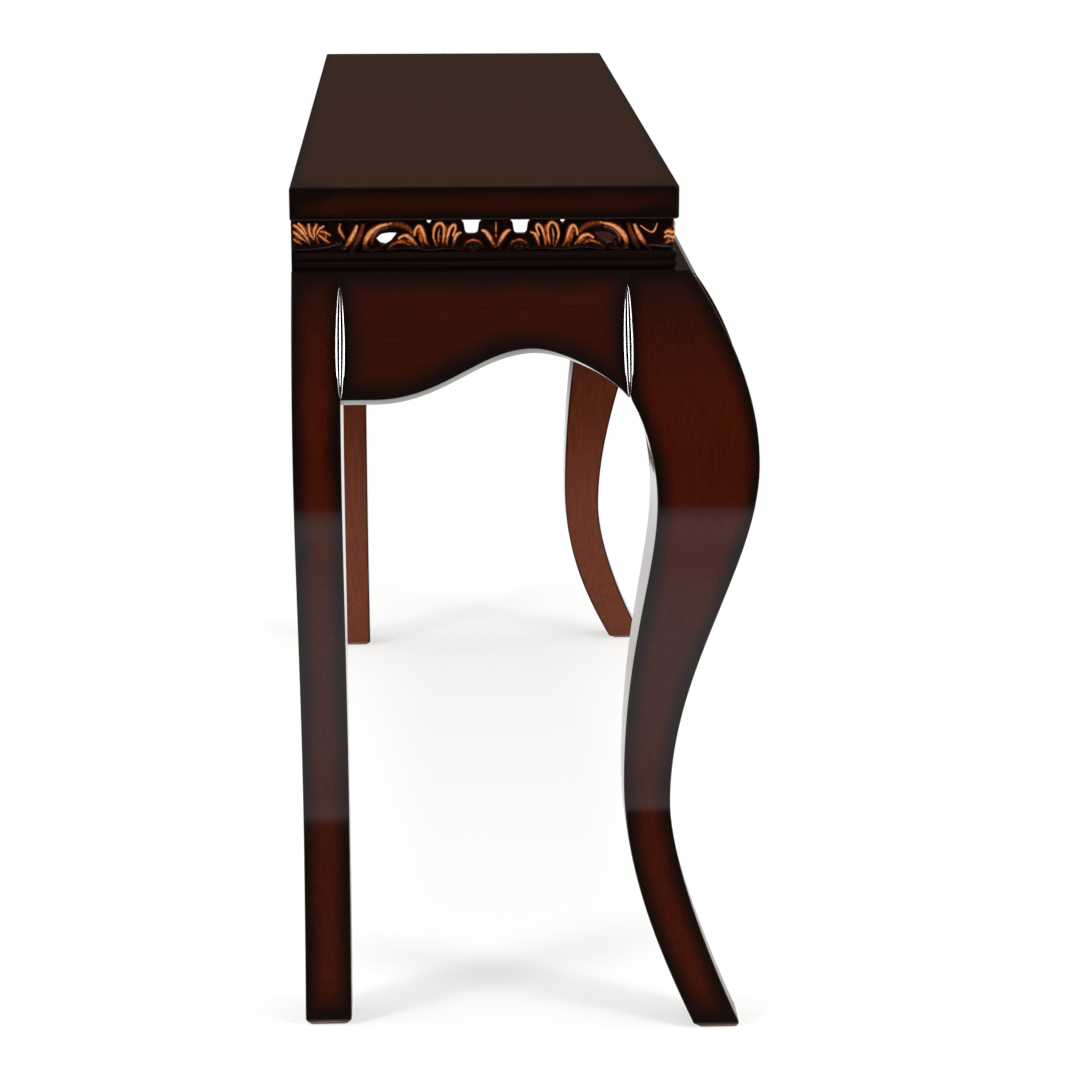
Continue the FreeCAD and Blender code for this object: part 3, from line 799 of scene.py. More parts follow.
@dataclass(frozen=True)
class PlainWood(Finish):
    """Unfinished sawn hardwood. The eye sees a matt, dry surface, streaked along the grain."""

    early: str
    late: str
    grain: SawnGrain
    saw_depth: float = 0.1
    saw_strength: float = 0.4
    grained: Span = (0.2, 0.8)
    roughness: Span = (0.5, 0.65)

    def shader_inputs(self, tree: Tree, place: Socket) -> dict[str, object]:
        """Return the bare wood.

        Args:
            tree: The material's node tree.
            place: Where on the object a point lies, in metres.

        Returns:
            The sockets or values of the shader's inputs.
        """
        grain = self.grain.pattern(tree, place)
        wood = {0: grain, 6: linear(self.early), 7: linear(self.late)}
        saw_marks = {"Height": grain, "Strength": self.saw_strength, "Distance": self.saw_depth * MM}
        return {
            "Base Color": add_node(tree, "Mix", wood, **COLOURS),
            "Roughness": add_node(tree, "MapRange", (grain, *self.grained, *self.roughness)),
            "Normal": add_node(tree, "Bump", saw_marks),
        }


@dataclass(frozen=True)
class ZincSteel(Finish):
    """Zinc-plated steel. The eye sees a cool, satin grey metal with a faint cloudy bloom."""

    bright: str
    bloom: str
    spangle_size: float = 2.5
    spangle_detail: float = 2.0
    spangled: Span = (0.3, 0.7)
    roughness: Span = (0.28, 0.45)

    def shader_inputs(self, tree: Tree, place: Socket) -> dict[str, object]:
        """Return the plated metal.

        Args:
            tree: The material's node tree.
            place: Where on the object a point lies, in metres.

        Returns:
            The sockets or values of the shader's inputs.
        """
        look = {"Vector": place, "Scale": 1 / (self.spangle_size * MM), "Detail": self.spangle_detail}
        spangle = add_node(tree, "TexNoise", look)
        plating = {0: spangle, 6: linear(self.bright), 7: linear(self.bloom)}
        return {
            "Base Color": add_node(tree, "Mix", plating, **COLOURS),
            "Metallic": 1.0,
            "Roughness": add_node(tree, "MapRange", (spangle, *self.spangled, *self.roughness)),
        }


class Finishes:
    """Every finish on the table, each made once."""

    ALONG_X = (1.0, 0.0, 0.0)
    ALONG_Y = (0.0, 1.0, 0.0)
    ALONG_Z = (0.0, 0.0, 1.0)

    def __init__(self) -> None:
        """Make the materials."""
        lengthways, across, upright = (Grain(along) for along in (self.ALONG_X, self.ALONG_Y, self.ALONG_Z))
        self.top = MahoganyLacquer(
            "lacquered_mahogany_top", "#2c1009", "#e0dcd8", "#100a09", lengthways, sprayed=(2.0, 12.0)
        ).material()
        # The legs turn darker below the knee, near-black at the floor and darker again up under the ledge
        self.leg = MahoganyLacquer(
            "lacquered_mahogany_legs", "#451407", "#dcd6d2", "#120a08", upright, sprayed=(2.0, 19.0),
            height_tones=(("#3b140a", 480.0, 330.0), ("#180b08", 45.0, 0.0), ("#1c0e0b", 575.0, 745.0)),
        ).material()
        # The inner faces' dark upper part is painted shade under the aprons; they turn lighter brown towards
        # the floor
        self.leg_inside = MahoganyLacquer(
            "rubbed_mahogany_leg_insides", "#33100a", "#d8d0cc", "#1c0d09", upright, sprayed=(0.0, 4.0),
            height_tones=(("#64301c", 560.0, 0.0),), lacquer=0.25, lacquer_roughness=0.2,
        ).material()
        self.end_apron, self.front_apron = (
            MahoganyLacquer(
                f"lacquered_mahogany_{side}_aprons", "#32100a", "#ebe8e6", "#130c0b", grain,
                sprayed=(3.0, 26.0),
            ).material()
            for side, grain in (("end", across), ("front", lengthways))
        )
        self.end_ledge, self.front_ledge = (
            MahoganyLacquer(
                f"black_brown_lacquer_{side}", "#190f0c", "#dcd8d6", "#0f0b0a", grain, sprayed=(0.0, 3.0)
            ).material()
            for side, grain in (("ends", across), ("front", lengthways))
        )
        self.reeds = MahoganyLacquer(
            "black_brown_lacquer_reeds", "#171010", "#d8d4d2", "#0f0b0a", upright, sprayed=(0.0, 1.0)
        ).material()
        self.carving = GiltCarving("gilded_carving", "#150705", "#62230e", "#b3531e", "#ffb77a").material()
        sawn_lengthways, sawn_upright = (SawnGrain(along) for along in (self.ALONG_X, self.ALONG_Z))
        self.foot = PlainWood("sanded_mahogany_feet", "#7d5f52", "#6a4a3e", sawn_upright).material()
        self.hardwood = PlainWood("sawn_hardwood", "#b08a5e", "#94704a", sawn_lengthways).material()
        self.stained_hardwood = PlainWood(
            "stained_sawn_hardwood", "#33201a", "#271712", sawn_upright
        ).material()
        self.steel = ZincSteel("zinc_plated_steel", "#c3c6c9", "#a2a6ab").material()


def lowered(pole: Pole, drop: float) -> Pole:
    """Return a pole of reach and height, moved straight down."""
    return pole[0], pole[1] - drop


@dataclass(frozen=True)
class Template:
    """The outline that the legs and aprons are sawn to.

    A reach goes outwards from the face of the leg's top. Heights go up from the floor.
    """

    leg_top: float
    apron_low: float = 609.0
    top_width: float = 58.0
    knee_reach: float = 59.0
    knee_height: float = 545.0
    knee_width: float = 91.5
    knee_back_height: float = 508.0
    ankle_reach: float = -12.0
    ankle_height: float = 206.0
    ankle_width: float = 44.3
    ankle_back_height: float = 231.0
    foot_reach: float = 53.0
    foot_width: float = 43.5
    knee_handle: float = 92.0
    ankle_handle_above: float = 131.0
    ankle_handle_below: float = 64.0
    foot_handle: float = 39.5
    shoulder_out: float = 8.0
    shoulder_drop: float = 9.2
    shoulder_handle: float = 50.0
    knee_back_handle: float = 66.0
    ankle_back_handle_above: float = 136.5
    ankle_back_handle_below: float = 79.0
    foot_back_handle: float = 85.0
    foot_lean: float = 27.5

    def swell(self, height: float) -> float:
        """Return how far the legs and aprons reach outwards at a height between knee and leg top."""
        share = (self.leg_top - height) / (self.leg_top - self.knee_height)
        return self.knee_reach * (2 * share - share * share)

    def sole(self, edge: float, foot: float, handle: float) -> tuple[Pole, Pole]:
        """Return the last two poles of a face that leans out to an edge of the sole.

        Args:
            edge: The reach of that edge.
            foot: How far out the foot reaches, which sets its lean.
            handle: The height of the upper pole.

        Returns:
            The two poles.
        """
        kick = (foot - self.ankle_reach) / (self.foot_reach - self.ankle_reach)
        lean = math.tan(math.radians(self.foot_lean)) * kick
        return (edge - lean * handle, handle), (edge, 0.0)

    @lru_cache(maxsize=None)
    def outer(self, height: float, foot: float) -> float:
        """Return the reach of a leg's outer face at a height, for a foot that reaches so far out.

        Args:
            height: The height above the floor.
            foot: How far out the foot reaches.

        Returns:
            The reach in millimetres.
        """
        knee = (self.knee_reach, self.knee_height)
        ankle = (self.ankle_reach, self.ankle_height)
        if height >= self.knee_height:
            return self.swell(height)
        if height >= self.ankle_height:
            poles = (knee, lowered(knee, self.knee_handle), lowered(ankle, -self.ankle_handle_above), ankle)
        else:
            below = lowered(ankle, self.ankle_handle_below)
            poles = (ankle, below, *self.sole(foot, foot, self.foot_handle))
        return bezier_across(poles, height, 1)

    @lru_cache(maxsize=None)
    def inner(self, height: float, foot: float) -> float:
        """Return the reach of a leg's inner face at a height, for a foot that reaches so far out.

        Args:
            height: The height above the floor.
            foot: How far out the foot reaches.

        Returns:
            The reach in millimetres.
        """
        shoulder = (-self.top_width, self.apron_low)
        knee = (self.knee_reach - self.knee_width, self.knee_back_height)
        ankle = (self.ankle_reach - self.ankle_width, self.ankle_back_height)
        if height >= self.apron_low:
            return -self.top_width
        if height >= self.knee_back_height:
            out = (self.shoulder_out - self.top_width, self.apron_low - self.shoulder_drop)
            poles = (shoulder, out, (knee[0], self.apron_low - self.shoulder_handle), knee)
        elif height >= self.ankle_back_height:
            above = lowered(ankle, -self.ankle_back_handle_above)
            poles = (knee, lowered(knee, self.knee_back_handle), above, ankle)
        else:
            below = lowered(ankle, self.ankle_back_handle_below)
            poles = (ankle, below, *self.sole(foot - self.foot_width, foot, self.foot_back_handle))
        return bezier_across(poles, height, 1)


@dataclass(frozen=True)
class TableTop:
    """The plain slab, with rounded front corners and eased edges."""

    places: Places
    corner_radius: float = 5.0
    corner_steps: int = 6
    edge_radius: float = 2.0
    edge_steps: int = 3
    cells: tuple[int, int, int] = (24, 8, 2)
    # A point this near to a face counts as on it
    near: float = 1.0

    def build(self, finishes: Finishes) -> None:
        """Model and dress the slab.

        Args:
            finishes: The table's finishes.
        """
        piece = block("slab", self.cells, self.rule)
        corners = (self.corner_radius, self.corner_steps, self.at_front_corner)
        finish_edges(piece, corners, (self.edge_radius, self.edge_steps))
        dress(piece, [finishes.top], "table_top")

    def at_front_corner(self, start: Vector, end: Vector) -> bool:
        """Return whether an edge stands upright at one of the front corners.

        Args:
            start: The edge's one end.
            end: Its other end.

        Returns:
            Whether it does.
        """
        at = self.places
        corner = abs(start.x) > at.top_end_x - self.near and start.y < at.top_front_y + self.near
        return corner and abs(start.z - end.z) > self.near

    def rule(self, a: float, b: float, c: float) -> Point:
        """Return a place in the slab.

        Args:
            a: The share of the way along the piece.
            b: The share of the way inwards.
            c: The share of the way up.

        Returns:
            The place in millimetres.
        """
        at = self.places
        x = lerp(-at.top_end_x, at.top_end_x, a)
        y = lerp(at.top_front_y, at.top_back_y, b)
        return x, y, lerp(at.underside_z, at.top_z, c)


@dataclass(frozen=True)
class Leg:
    """A leg: square in section and sawn to the template, on two faces in front and on one at the back."""

    places: Places
    template: Template
    row: Row
    back_foot_reach: float = 32.0
    foot_chamfer: float = 5.0
    edge_radius: float = 1.6
    edge_steps: int = 3
    cells: tuple[int, int, int] = (4, 4, 72)
    # How squarely a face looks down to be a foot's end, and inwards to be inside the table
    squarely_down: float = 0.4
    squarely_in: float = 0.6

    @property
    def foot(self) -> float:
        """Return how far the foot reaches out."""
        return self.template.foot_reach if self.row is Row.FRONT else self.back_foot_reach

    def build(self, finishes: Finishes) -> None:
        """Model the left-hand leg, copy it for the right and dress both.

        Args:
            finishes: The table's finishes.
        """
        node = f"leg_{self.row.value}_left"
        piece = block(f"cabriole_{node}", self.cells, self.rule)
        ease_edges(piece, self.foot_chamfer, 1, lambda start, end: max(start.z, end.z) < self.edge_radius)
        joint = self.template.leg_top - self.edge_radius
        below = (self.edge_radius, self.edge_steps, lambda start, end: min(start.z, end.z) < joint)
        finish_edges(piece, below)
        materials = [finishes.leg, finishes.leg_inside, finishes.foot]
        for leg in dress(piece, materials, node):
            for face in leg.data.polygons:
                face.material_index = self.finish_number(face)

    def finish_number(self, face: bpy.types.MeshPolygon) -> int:
        """Return 0 for a face seen from outside, 1 for one inside the table and 2 for a foot's end.

        Args:
            face: The face.

        Returns:
            The number of the face's material.
        """
        if face.center.z < self.foot_chamfer * MM and face.normal.z < -self.squarely_down:
            return 2
        inwards = face.normal.x * -math.copysign(1, face.center.x) > self.squarely_in
        return 1 if inwards else 0

    def rule(self, a: float, b: float, c: float) -> Point:
        """Return a place in the leg.

        Args:
            a: The share of the way along the piece.
            b: The share of the way inwards.
            c: The share of the way up.

        Returns:
            The place in millimetres.
        """
        at = self.places
        height = round(c * self.template.leg_top, 3)
        outer = self.template.outer(height, self.foot)
        inner = self.template.inner(height, self.foot)
        face_x = at.joint_end_x + self.template.top_width
        face_y = at.joint_front_y - self.template.top_width
        x = -face_x - lerp(outer, inner, a)
        if self.row is Row.BACK:
            return x, lerp(at.joint_back_y, at.back_y, b), height
        return x, face_y - lerp(outer, inner, b), height


@dataclass(frozen=True)
class Apron:
    """A swelling board with its lower edge sawn to arches, square to its face."""

    places: Places
    template: Template
    run: Run
    thickness: float = 22.0
    # The arch, as distances from the front leg and heights above the apron's foot
    fall: tuple[Pole, ...] = ((0.0, 0.0), (12.5, 16.0), (56.0, 42.0), (86.0, 42.6))
    sweep: tuple[Pole, ...] = ((86.0, 42.6), (134.0, 42.6), (166.0, 0.0), (228.0, 0.0))
    # The soffit slopes down to the back, less so beside the front leg
    soffit_tilt: float = 21.5
    soffit_tilt_at_leg: float = 9.0
    soffit_settled: float = 110.0
    edge_radius: float = 1.0
    edge_steps: int = 2
    column_width: float = 4.0
    layers: int = 2
    rows: int = 16

    @property
    def length(self) -> float:
        """Return the board's length between the legs."""
        at = self.places
        return 2 * at.joint_end_x if self.run is Run.FRONT else at.joint_back_y - at.joint_front_y

    def build(self, finishes: Finishes) -> None:
        """Model and dress the apron.

        Args:
            finishes: The table's finishes.
        """
        cells = (round(self.length / self.column_width), self.layers, self.rows)
        piece = block(f"swelling_apron_{self.run.value}", cells, self.rule)
        finish_edges(piece, (self.edge_radius, self.edge_steps, self.shows))
        finish = finishes.front_apron if self.run is Run.FRONT else finishes.end_apron
        dress(piece, [finish], f"apron_{self.run.value}")

    def shows(self, start: Vector, end: Vector) -> bool:
        """Return whether an edge runs along the board below its joint with the ledge.

        Args:
            start: The edge's one end.
            end: Its other end.

        Returns:
            Whether it does.
        """
        axis = 0 if self.run is Run.FRONT else 1
        joint = self.template.leg_top - self.edge_radius
        return min(start.z, end.z) < joint and abs(start[axis] - end[axis]) > self.edge_radius

    @lru_cache(maxsize=None)
    def low(self, along: float, depth: float) -> float:
        """Return the height of the lower edge.

        Args:
            along: The distance from the front leg, in millimetres.
            depth: The distance inwards from the outer face.

        Returns:
            The height above the floor.
        """
        if self.run is Run.FRONT:
            along = min(along, self.length - along)
        rise = 0.0
        if along < self.sweep[-1][0]:
            rise = bezier_across(self.fall if along < self.fall[-1][0] else self.sweep, along, 0)
        tilt = lerp(self.soffit_tilt_at_leg, self.soffit_tilt, smooth(along / self.soffit_settled))
        return self.template.apron_low + rise - depth * math.tan(math.radians(tilt))

    def rule(self, a: float, b: float, c: float) -> Point:
        """Return a place in the apron.

        Args:
            a: The share of the way along the piece.
            b: The share of the way inwards.
            c: The share of the way up.

        Returns:
            The place in millimetres.
        """
        at = self.places
        depth = self.thickness * b
        along = a * self.length
        height = lerp(self.low(round(along, 3), depth), self.template.leg_top, c)
        reach = self.template.top_width + self.template.swell(height) - depth
        if self.run is Run.FRONT:
            return along - at.joint_end_x, at.joint_front_y - reach, height
        return -at.joint_end_x - reach, at.joint_front_y + along, height


@dataclass(frozen=True)
class Board:
    """A plain board at the back, with eased edges and square or mitred ends."""

    node: str
    mitred: bool
    edge_radius: float = 1.0
    edge_steps: int = 2
    cells: tuple[int, int, int] = (12, 2, 2)

    def build(self, finishes: Finishes) -> None:
        """Model and dress the board.

        Args:
            finishes: The table's finishes.
        """
        piece = block(f"plain_{self.node}", self.cells, self.rule)
        finish_edges(piece, (self.edge_radius, self.edge_steps))
        dress(piece, [finishes.front_apron], self.node)

    def rule(self, a: float, b: float, c: float) -> Point:
        """Return a place in the board.

        Args:
            a: The share of the way along the piece.
            b: The share of the way inwards.
            c: The share of the way up.

        Returns:
            The place in millimetres.
        """
        low, high = span(self.node)
        depth = lerp(0.0, high.y - low.y, b)
        inset = depth if self.mitred else 0.0
        return lerp(low.x + inset, high.x - inset, a), high.y - depth, lerp(low.z, high.z, c)


@dataclass(frozen=True)
class FrameRun:
    """One side of a mitred frame: maps a distance along, a depth and a height to a place."""

    places: Places
    run: Run

    @property
    def length(self) -> float:
        """Return the side's length along its outer face."""
        at = self.places
        return at.back_y - at.ledge_front_y if self.run is Run.LEFT else 2 * at.ledge_end_x

    def place(self, along: float, depth: float, height: float) -> Point:
        """Return a place on the frame.

        Args:
            along: The distance from the front end, or from the left end.
            depth: The distance inwards from the outer face.
            height: The height above the floor.

        Returns:
            The place in millimetres.
        """
        at = self.places
        if self.run is Run.FRONT:
            return along - at.ledge_end_x, at.ledge_front_y + depth, height
        if self.run is Run.BACK:
            return along - at.ledge_end_x, at.back_y - depth, height
        return depth - at.ledge_end_x, at.ledge_front_y + along, height


@dataclass(frozen=True)
class Ledge:
    """A moulding of two beads that the frieze stands on, mitred at the corners."""

    places: Places
    run: Run
    width: float = 40.0
    bulge: float = 2.0
    beads: int = 2
    steps: int = 10
    columns: int = 24

    def build(self, finishes: Finishes) -> None:
        """Model and dress the moulding.

        Args:
            finishes: The table's finishes.
        """
        cells = (self.columns, 1, self.beads * self.steps)
        piece = block(f"beaded_ledge_{self.run.value}", cells, self.rule)
        finish_edges(piece)
        finish = finishes.end_ledge if self.run is Run.LEFT else finishes.front_ledge
        dress(piece, [finish], f"ledge_{self.run.value}")

    def rule(self, a: float, b: float, c: float) -> Point:
        """Return a place in the moulding.

        Args:
            a: The share of the way along the piece.
            b: The share of the way inwards.
            c: The share of the way up.

        Returns:
            The place in millimetres.
        """
        at = self.places
        side = FrameRun(at, self.run)
        turn = (c * self.beads) % 1.0
        hollow = self.bulge * (2 * turn - 1) ** 2
        depth = lerp(0.0 if self.run is Run.BACK else hollow, self.width, b)
        along = lerp(depth, side.length - depth, a)
        return side.place(along, depth, lerp(at.ledge_z, at.frieze_z, c))


@dataclass(frozen=True)
class Reeds:
    """Three slim reeds over the joint of a leg and an apron, drawn together to a point at both ends."""

    places: Places
    template: Template
    node: str
    count: int = 3
    pitch: float = 3.3
    width: float = 2.2
    height: float = 2.6
    # Half of a reed's section, from its foot to its crest, as shares of its half width and its height
    section: tuple[Pole, ...] = ((1.0, 0.0), (0.86, 0.682), (0.43, 0.858), (0.0, 1.0))
    # How full the bundle stays towards its points
    fullness: float = 0.5
    rings: int = 44

    def build(self, finishes: Finishes) -> None:
        """Model the left-hand reeds, copy them for the right and dress both.

        Args:
            finishes: The table's finishes.
        """
        cells = (self.rings, 2 * (len(self.section) - 1), 1)
        reeds = [block(f"reed_{index}", cells, self.rule_for(index)) for index in range(self.count)]
        piece = join(reeds, f"slim_{self.node}")
        finish_edges(piece)
        dress(piece, [finishes.reeds], self.node)

    def rule_for(self, index: int) -> Rule:
        """Return the rule that lays out one reed, counted from one side.

        Args:
            index: The reed's number.

        Returns:
            The rule.
        """
        low, high = span(self.node)
        middle = (low + high) / 2
        front = self.node.startswith("reeds_front")
        offset = (index - (self.count - 1) / 2) * self.pitch
        crest = len(self.section) - 1

        def rule(a: float, b: float, c: float) -> Point:
            """Return a place in the reed.

            Args:
                a: The share of the way down the reed.
                b: The share of the way across it.
                c: The share of the way in from its outer face.

            Returns:
                The place in millimetres.
            """
            swell = math.sin(math.pi * min(a, 1 - a)) ** self.fullness
            step = round(b * 2 * crest)
            out, rise = self.section[min(step, 2 * crest - step)]
            across = (offset + math.copysign(out, step - crest) * self.width / 2) * swell
            height = lerp(high.z, low.z, a)
            lift = rise * self.height * swell * (1 - c)
            reach = self.template.top_width + self.template.swell(height) + lift
            if front:
                return middle.x + across, self.places.joint_front_y - reach, height
            return -self.places.joint_end_x - reach, middle.y + across, height

        return rule


@dataclass(frozen=True)
class Stroke:
    """One carved ridge along a smooth line.

    Each point is a distance from the motif's middle and a height above the frieze's foot. The widths are at
    the root, the belly and the tip. The lift is how far the crest stands above the ground. Gilt says how much
    gold is wiped on, warmth how red the lacquer is under it, and spread how far the gold reaches down its
    sides.
    """

    points: tuple[Pole, ...]
    widths: tuple[float, float, float]
    lift: float
    gilt: float
    warmth: float = 1.0
    spread: float = 1.0


# Half of the motif, from its middle outwards. The other half is its mirror image.
CENTRE_STROKES = (
    Stroke(((0.0, 2.0), (0.0, 12.0), (0.0, 22.0)), (6.0, 8.0, 4.0), 2.2, 0.0),
    Stroke(((0.0, 26.5), (0.0, 20.0), (0.0, 12.0)), (1.4, 2.0, 1.4), 3.4, 0.7),
)
HALF_STROKES = (
    # The dark stem along the foot, and the bodies that the leaves grow from
    Stroke(((30.0, 2.0), (44.0, 3.6), (60.0, 2.2), (78.0, 4.4), (98.0, 1.6)), (3.0, 4.4, 3.0), 3.0, 0.0, 0.1),
    Stroke(((47.0, 6.0), (46.5, 14.0), (46.0, 21.0)), (12.0, 15.0, 11.0), 3.0, 0.45),
    Stroke(((62.0, 5.0), (66.5, 12.0), (69.4, 18.5)), (6.0, 8.0, 6.0), 3.0, 0.45),
    Stroke(((72.0, 5.0), (79.0, 9.6), (85.0, 9.6)), (5.0, 7.0, 4.0), 3.0, 0.4),
    Stroke(((20.4, 1.5), (20.4, 3.5), (20.4, 5.5)), (11.0, 12.0, 10.0), 2.8, 0.12),
    # The middle leaf and the boss beside it
    Stroke(((13.0, 19.2), (9.5, 18.0), (5.5, 12.5), (0.8, 3.5)), (2.0, 3.6, 2.6), 4.4, 1.0),
    Stroke(((12.0, 3.0), (14.5, 8.2), (20.5, 10.4), (26.5, 8.0), (29.0, 2.5)), (1.4, 2.2, 1.4), 4.0, 0.75),
    # Three lobes, two of them loops with a groove
    Stroke(((39.0, 4.5), (37.0, 12.0), (34.5, 16.0), (31.0, 17.4)), (2.0, 3.0, 1.8), 4.2, 1.0),
    Stroke(
        ((45.0, 4.0), (43.4, 14.0), (41.2, 21.0), (37.8, 24.4), (36.4, 21.0), (39.0, 14.0)),
        (2.0, 2.8, 1.8), 4.5, 1.0,
    ),
    Stroke(
        ((53.0, 4.0), (56.3, 14.0), (54.6, 22.8), (50.0, 26.2), (46.8, 22.0), (47.0, 14.0), (48.5, 6.0)),
        (1.8, 3.0, 1.8), 4.6, 1.0,
    ),
    Stroke(((51.5, 6.0), (51.8, 14.0), (50.6, 21.5)), (1.2, 1.8, 1.2), 3.8, 0.8),
    # Two hooked leaves and the lobe under them
    Stroke(
        ((73.5, 14.0), (72.4, 20.0), (68.9, 23.4), (65.8, 18.5), (63.4, 10.0), (60.2, 3.0)),
        (2.0, 3.2, 1.8), 4.5, 1.0,
    ),
    Stroke(((69.0, 17.0), (67.8, 10.0), (64.5, 3.5)), (1.2, 2.0, 1.4), 3.6, 0.5),
    Stroke(((88.0, 11.6), (83.0, 14.8), (78.5, 13.8), (74.0, 9.2), (69.5, 3.5)), (2.2, 3.4, 2.0), 4.4, 1.0),
    Stroke(((82.0, 10.5), (77.5, 8.0), (73.5, 3.5)), (1.2, 2.0, 1.4), 3.4, 0.4),
    Stroke(((96.0, 0.8), (94.2, 5.2), (89.5, 8.2), (84.0, 8.8), (78.5, 6.6)), (2.0, 2.6, 1.8), 4.0, 0.8),
    # The scroll round the eye
    Stroke(((75.0, 16.6), (79.5, 22.0), (87.5, 25.2), (97.0, 25.2)), (2.4, 4.0, 4.2), 4.0, 0.2),
    Stroke(
        ((94.0, 25.6), (104.5, 23.4), (112.6, 17.4), (117.2, 9.6), (117.2, 1.4)),
        (2.6, 4.6, 3.2), 4.8, 1.0,
    ),
    Stroke(((98.0, 21.6), (106.0, 19.4), (111.0, 13.0), (111.6, 6.4)), (1.6, 2.6, 2.0), 3.4, 0.35),
    Stroke(((117.0, 2.4), (112.5, 1.6), (107.5, 2.4), (102.5, 2.4)), (2.2, 3.0, 2.4), 3.6, 0.1),
    # The stem behind the scroll
    Stroke(((119.0, 25.0), (121.5, 17.0), (125.5, 9.0), (129.5, 2.0)), (2.6, 4.0, 3.0), 3.6, 0.12),
    Stroke(((124.4, 24.4), (127.6, 17.0), (132.4, 8.6), (137.4, 1.4)), (2.6, 3.8, 2.2), 4.6, 1.0),
)
# The spread leaf at an end with room for it
FAN_STROKES = (
    Stroke(((139.6, 26.0), (140.6, 21.0), (138.4, 16.2), (136.0, 12.0)), (1.8, 2.8, 1.6), 4.2, 0.8),
    Stroke(((184.0, 3.0), (165.0, 4.0), (150.0, 6.5), (139.0, 9.0)), (5.0, 6.5, 5.0), 3.2, 0.0, 0.12),
    Stroke(((153.0, 14.5), (163.0, 16.0), (178.0, 18.0)), (8.0, 14.0, 13.0), 3.0, 0.3),
    Stroke(((183.0, 25.4), (177.7, 22.6), (171.0, 15.2), (167.3, 7.2)), (3.4, 4.0, 1.6), 4.6, 0.95, 1.0, 0.6),
    Stroke(((183.0, 19.8), (177.7, 15.8), (169.8, 9.0)), (3.4, 4.0, 1.6), 4.4, 0.95, 1.0, 0.6),
    Stroke(((183.0, 13.2), (178.9, 10.4), (172.8, 6.2)), (2.8, 3.2, 1.4), 4.2, 0.95, 1.0, 0.6),
    Stroke(((177.0, 26.6), (172.8, 22.0), (168.6, 13.4)), (3.0, 3.6, 1.6), 4.6, 0.95, 1.0, 0.6),
    Stroke(((167.8, 25.8), (167.0, 17.7), (163.1, 11.0)), (3.2, 3.8, 1.8), 4.6, 0.95, 1.0, 0.6),
    Stroke(((160.7, 25.6), (163.3, 19.5), (162.9, 13.4)), (3.2, 3.6, 1.8), 4.4, 0.95, 1.0, 0.6),
    Stroke(((154.4, 23.8), (158.8, 20.8), (161.3, 15.8)), (2.6, 3.2, 1.6), 4.2, 0.9, 1.0, 0.65),
    Stroke(((148.4, 15.0), (154.0, 18.4), (158.8, 18.6)), (2.2, 2.8, 1.6), 4.0, 0.85, 1.0, 0.7),
    Stroke(((150.2, 8.6), (155.2, 12.7), (159.5, 16.0)), (2.2, 2.8, 1.6), 3.8, 0.8, 1.0, 0.7),
    Stroke(((158.6, 7.0), (160.4, 11.0), (161.3, 14.6)), (1.4, 2.0, 1.4), 3.8, 0.7, 1.0, 0.7),
)
# The short leaf that turns a corner
CORNER_STROKES = (
    Stroke(
        ((130.0, 22.6), (136.0, 18.4), (141.0, 16.6), (143.6, 19.6), (145.2, 24.4)),
        (1.4, 1.9, 1.4), 3.8, 1.0,
    ),
    Stroke(((162.0, 4.0), (155.0, 5.0), (146.0, 6.0), (138.0, 6.0)), (7.0, 8.0, 6.0), 2.8, 0.0, 0.1),
    Stroke(((158.0, 6.0), (157.0, 13.0), (158.0, 20.0)), (9.0, 11.0, 6.0), 3.2, 0.25, 0.8),
    Stroke(((152.4, 15.4), (155.0, 17.8), (159.0, 16.6), (163.0, 18.4)), (2.2, 3.4, 2.8), 4.8, 1.0),
    Stroke(((151.8, 11.4), (155.0, 13.4), (159.0, 12.0), (163.0, 13.2)), (2.2, 3.4, 2.8), 4.8, 1.0),
    Stroke(((152.6, 5.4), (156.0, 8.2), (162.0, 8.6)), (1.8, 2.8, 2.2), 4.4, 1.0),
)
# What is sawn right through each half: a notch, a pointed slot and the scroll's eye
PIERCINGS = (
    (
        (10.4, 30.0), (15.2, 25.0), (16.4, 17.0), (18.2, 15.5),
        (26.0, 15.5), (27.6, 17.0), (28.9, 25.0), (33.6, 30.0),
    ),
    ((56.4, 30.0), (59.4, 24.8), (61.0, 24.8), (64.2, 30.0)),
    ((108.0, 11.6), (103.0, 16.0), (96.0, 17.0), (88.6, 16.8), (94.2, 9.4), (99.2, 6.2), (104.6, 7.6)),
)
# Strokes with points along their middle lines, as distance along, depth and height above the board's foot
Lines = list[tuple[Stroke, list[Vector]]]


@dataclass(frozen=True)
class Motif:
    """One carved motif on a frieze: its middle along the board and how far its two halves run."""

    middle: float
    behind: float
    ahead: float


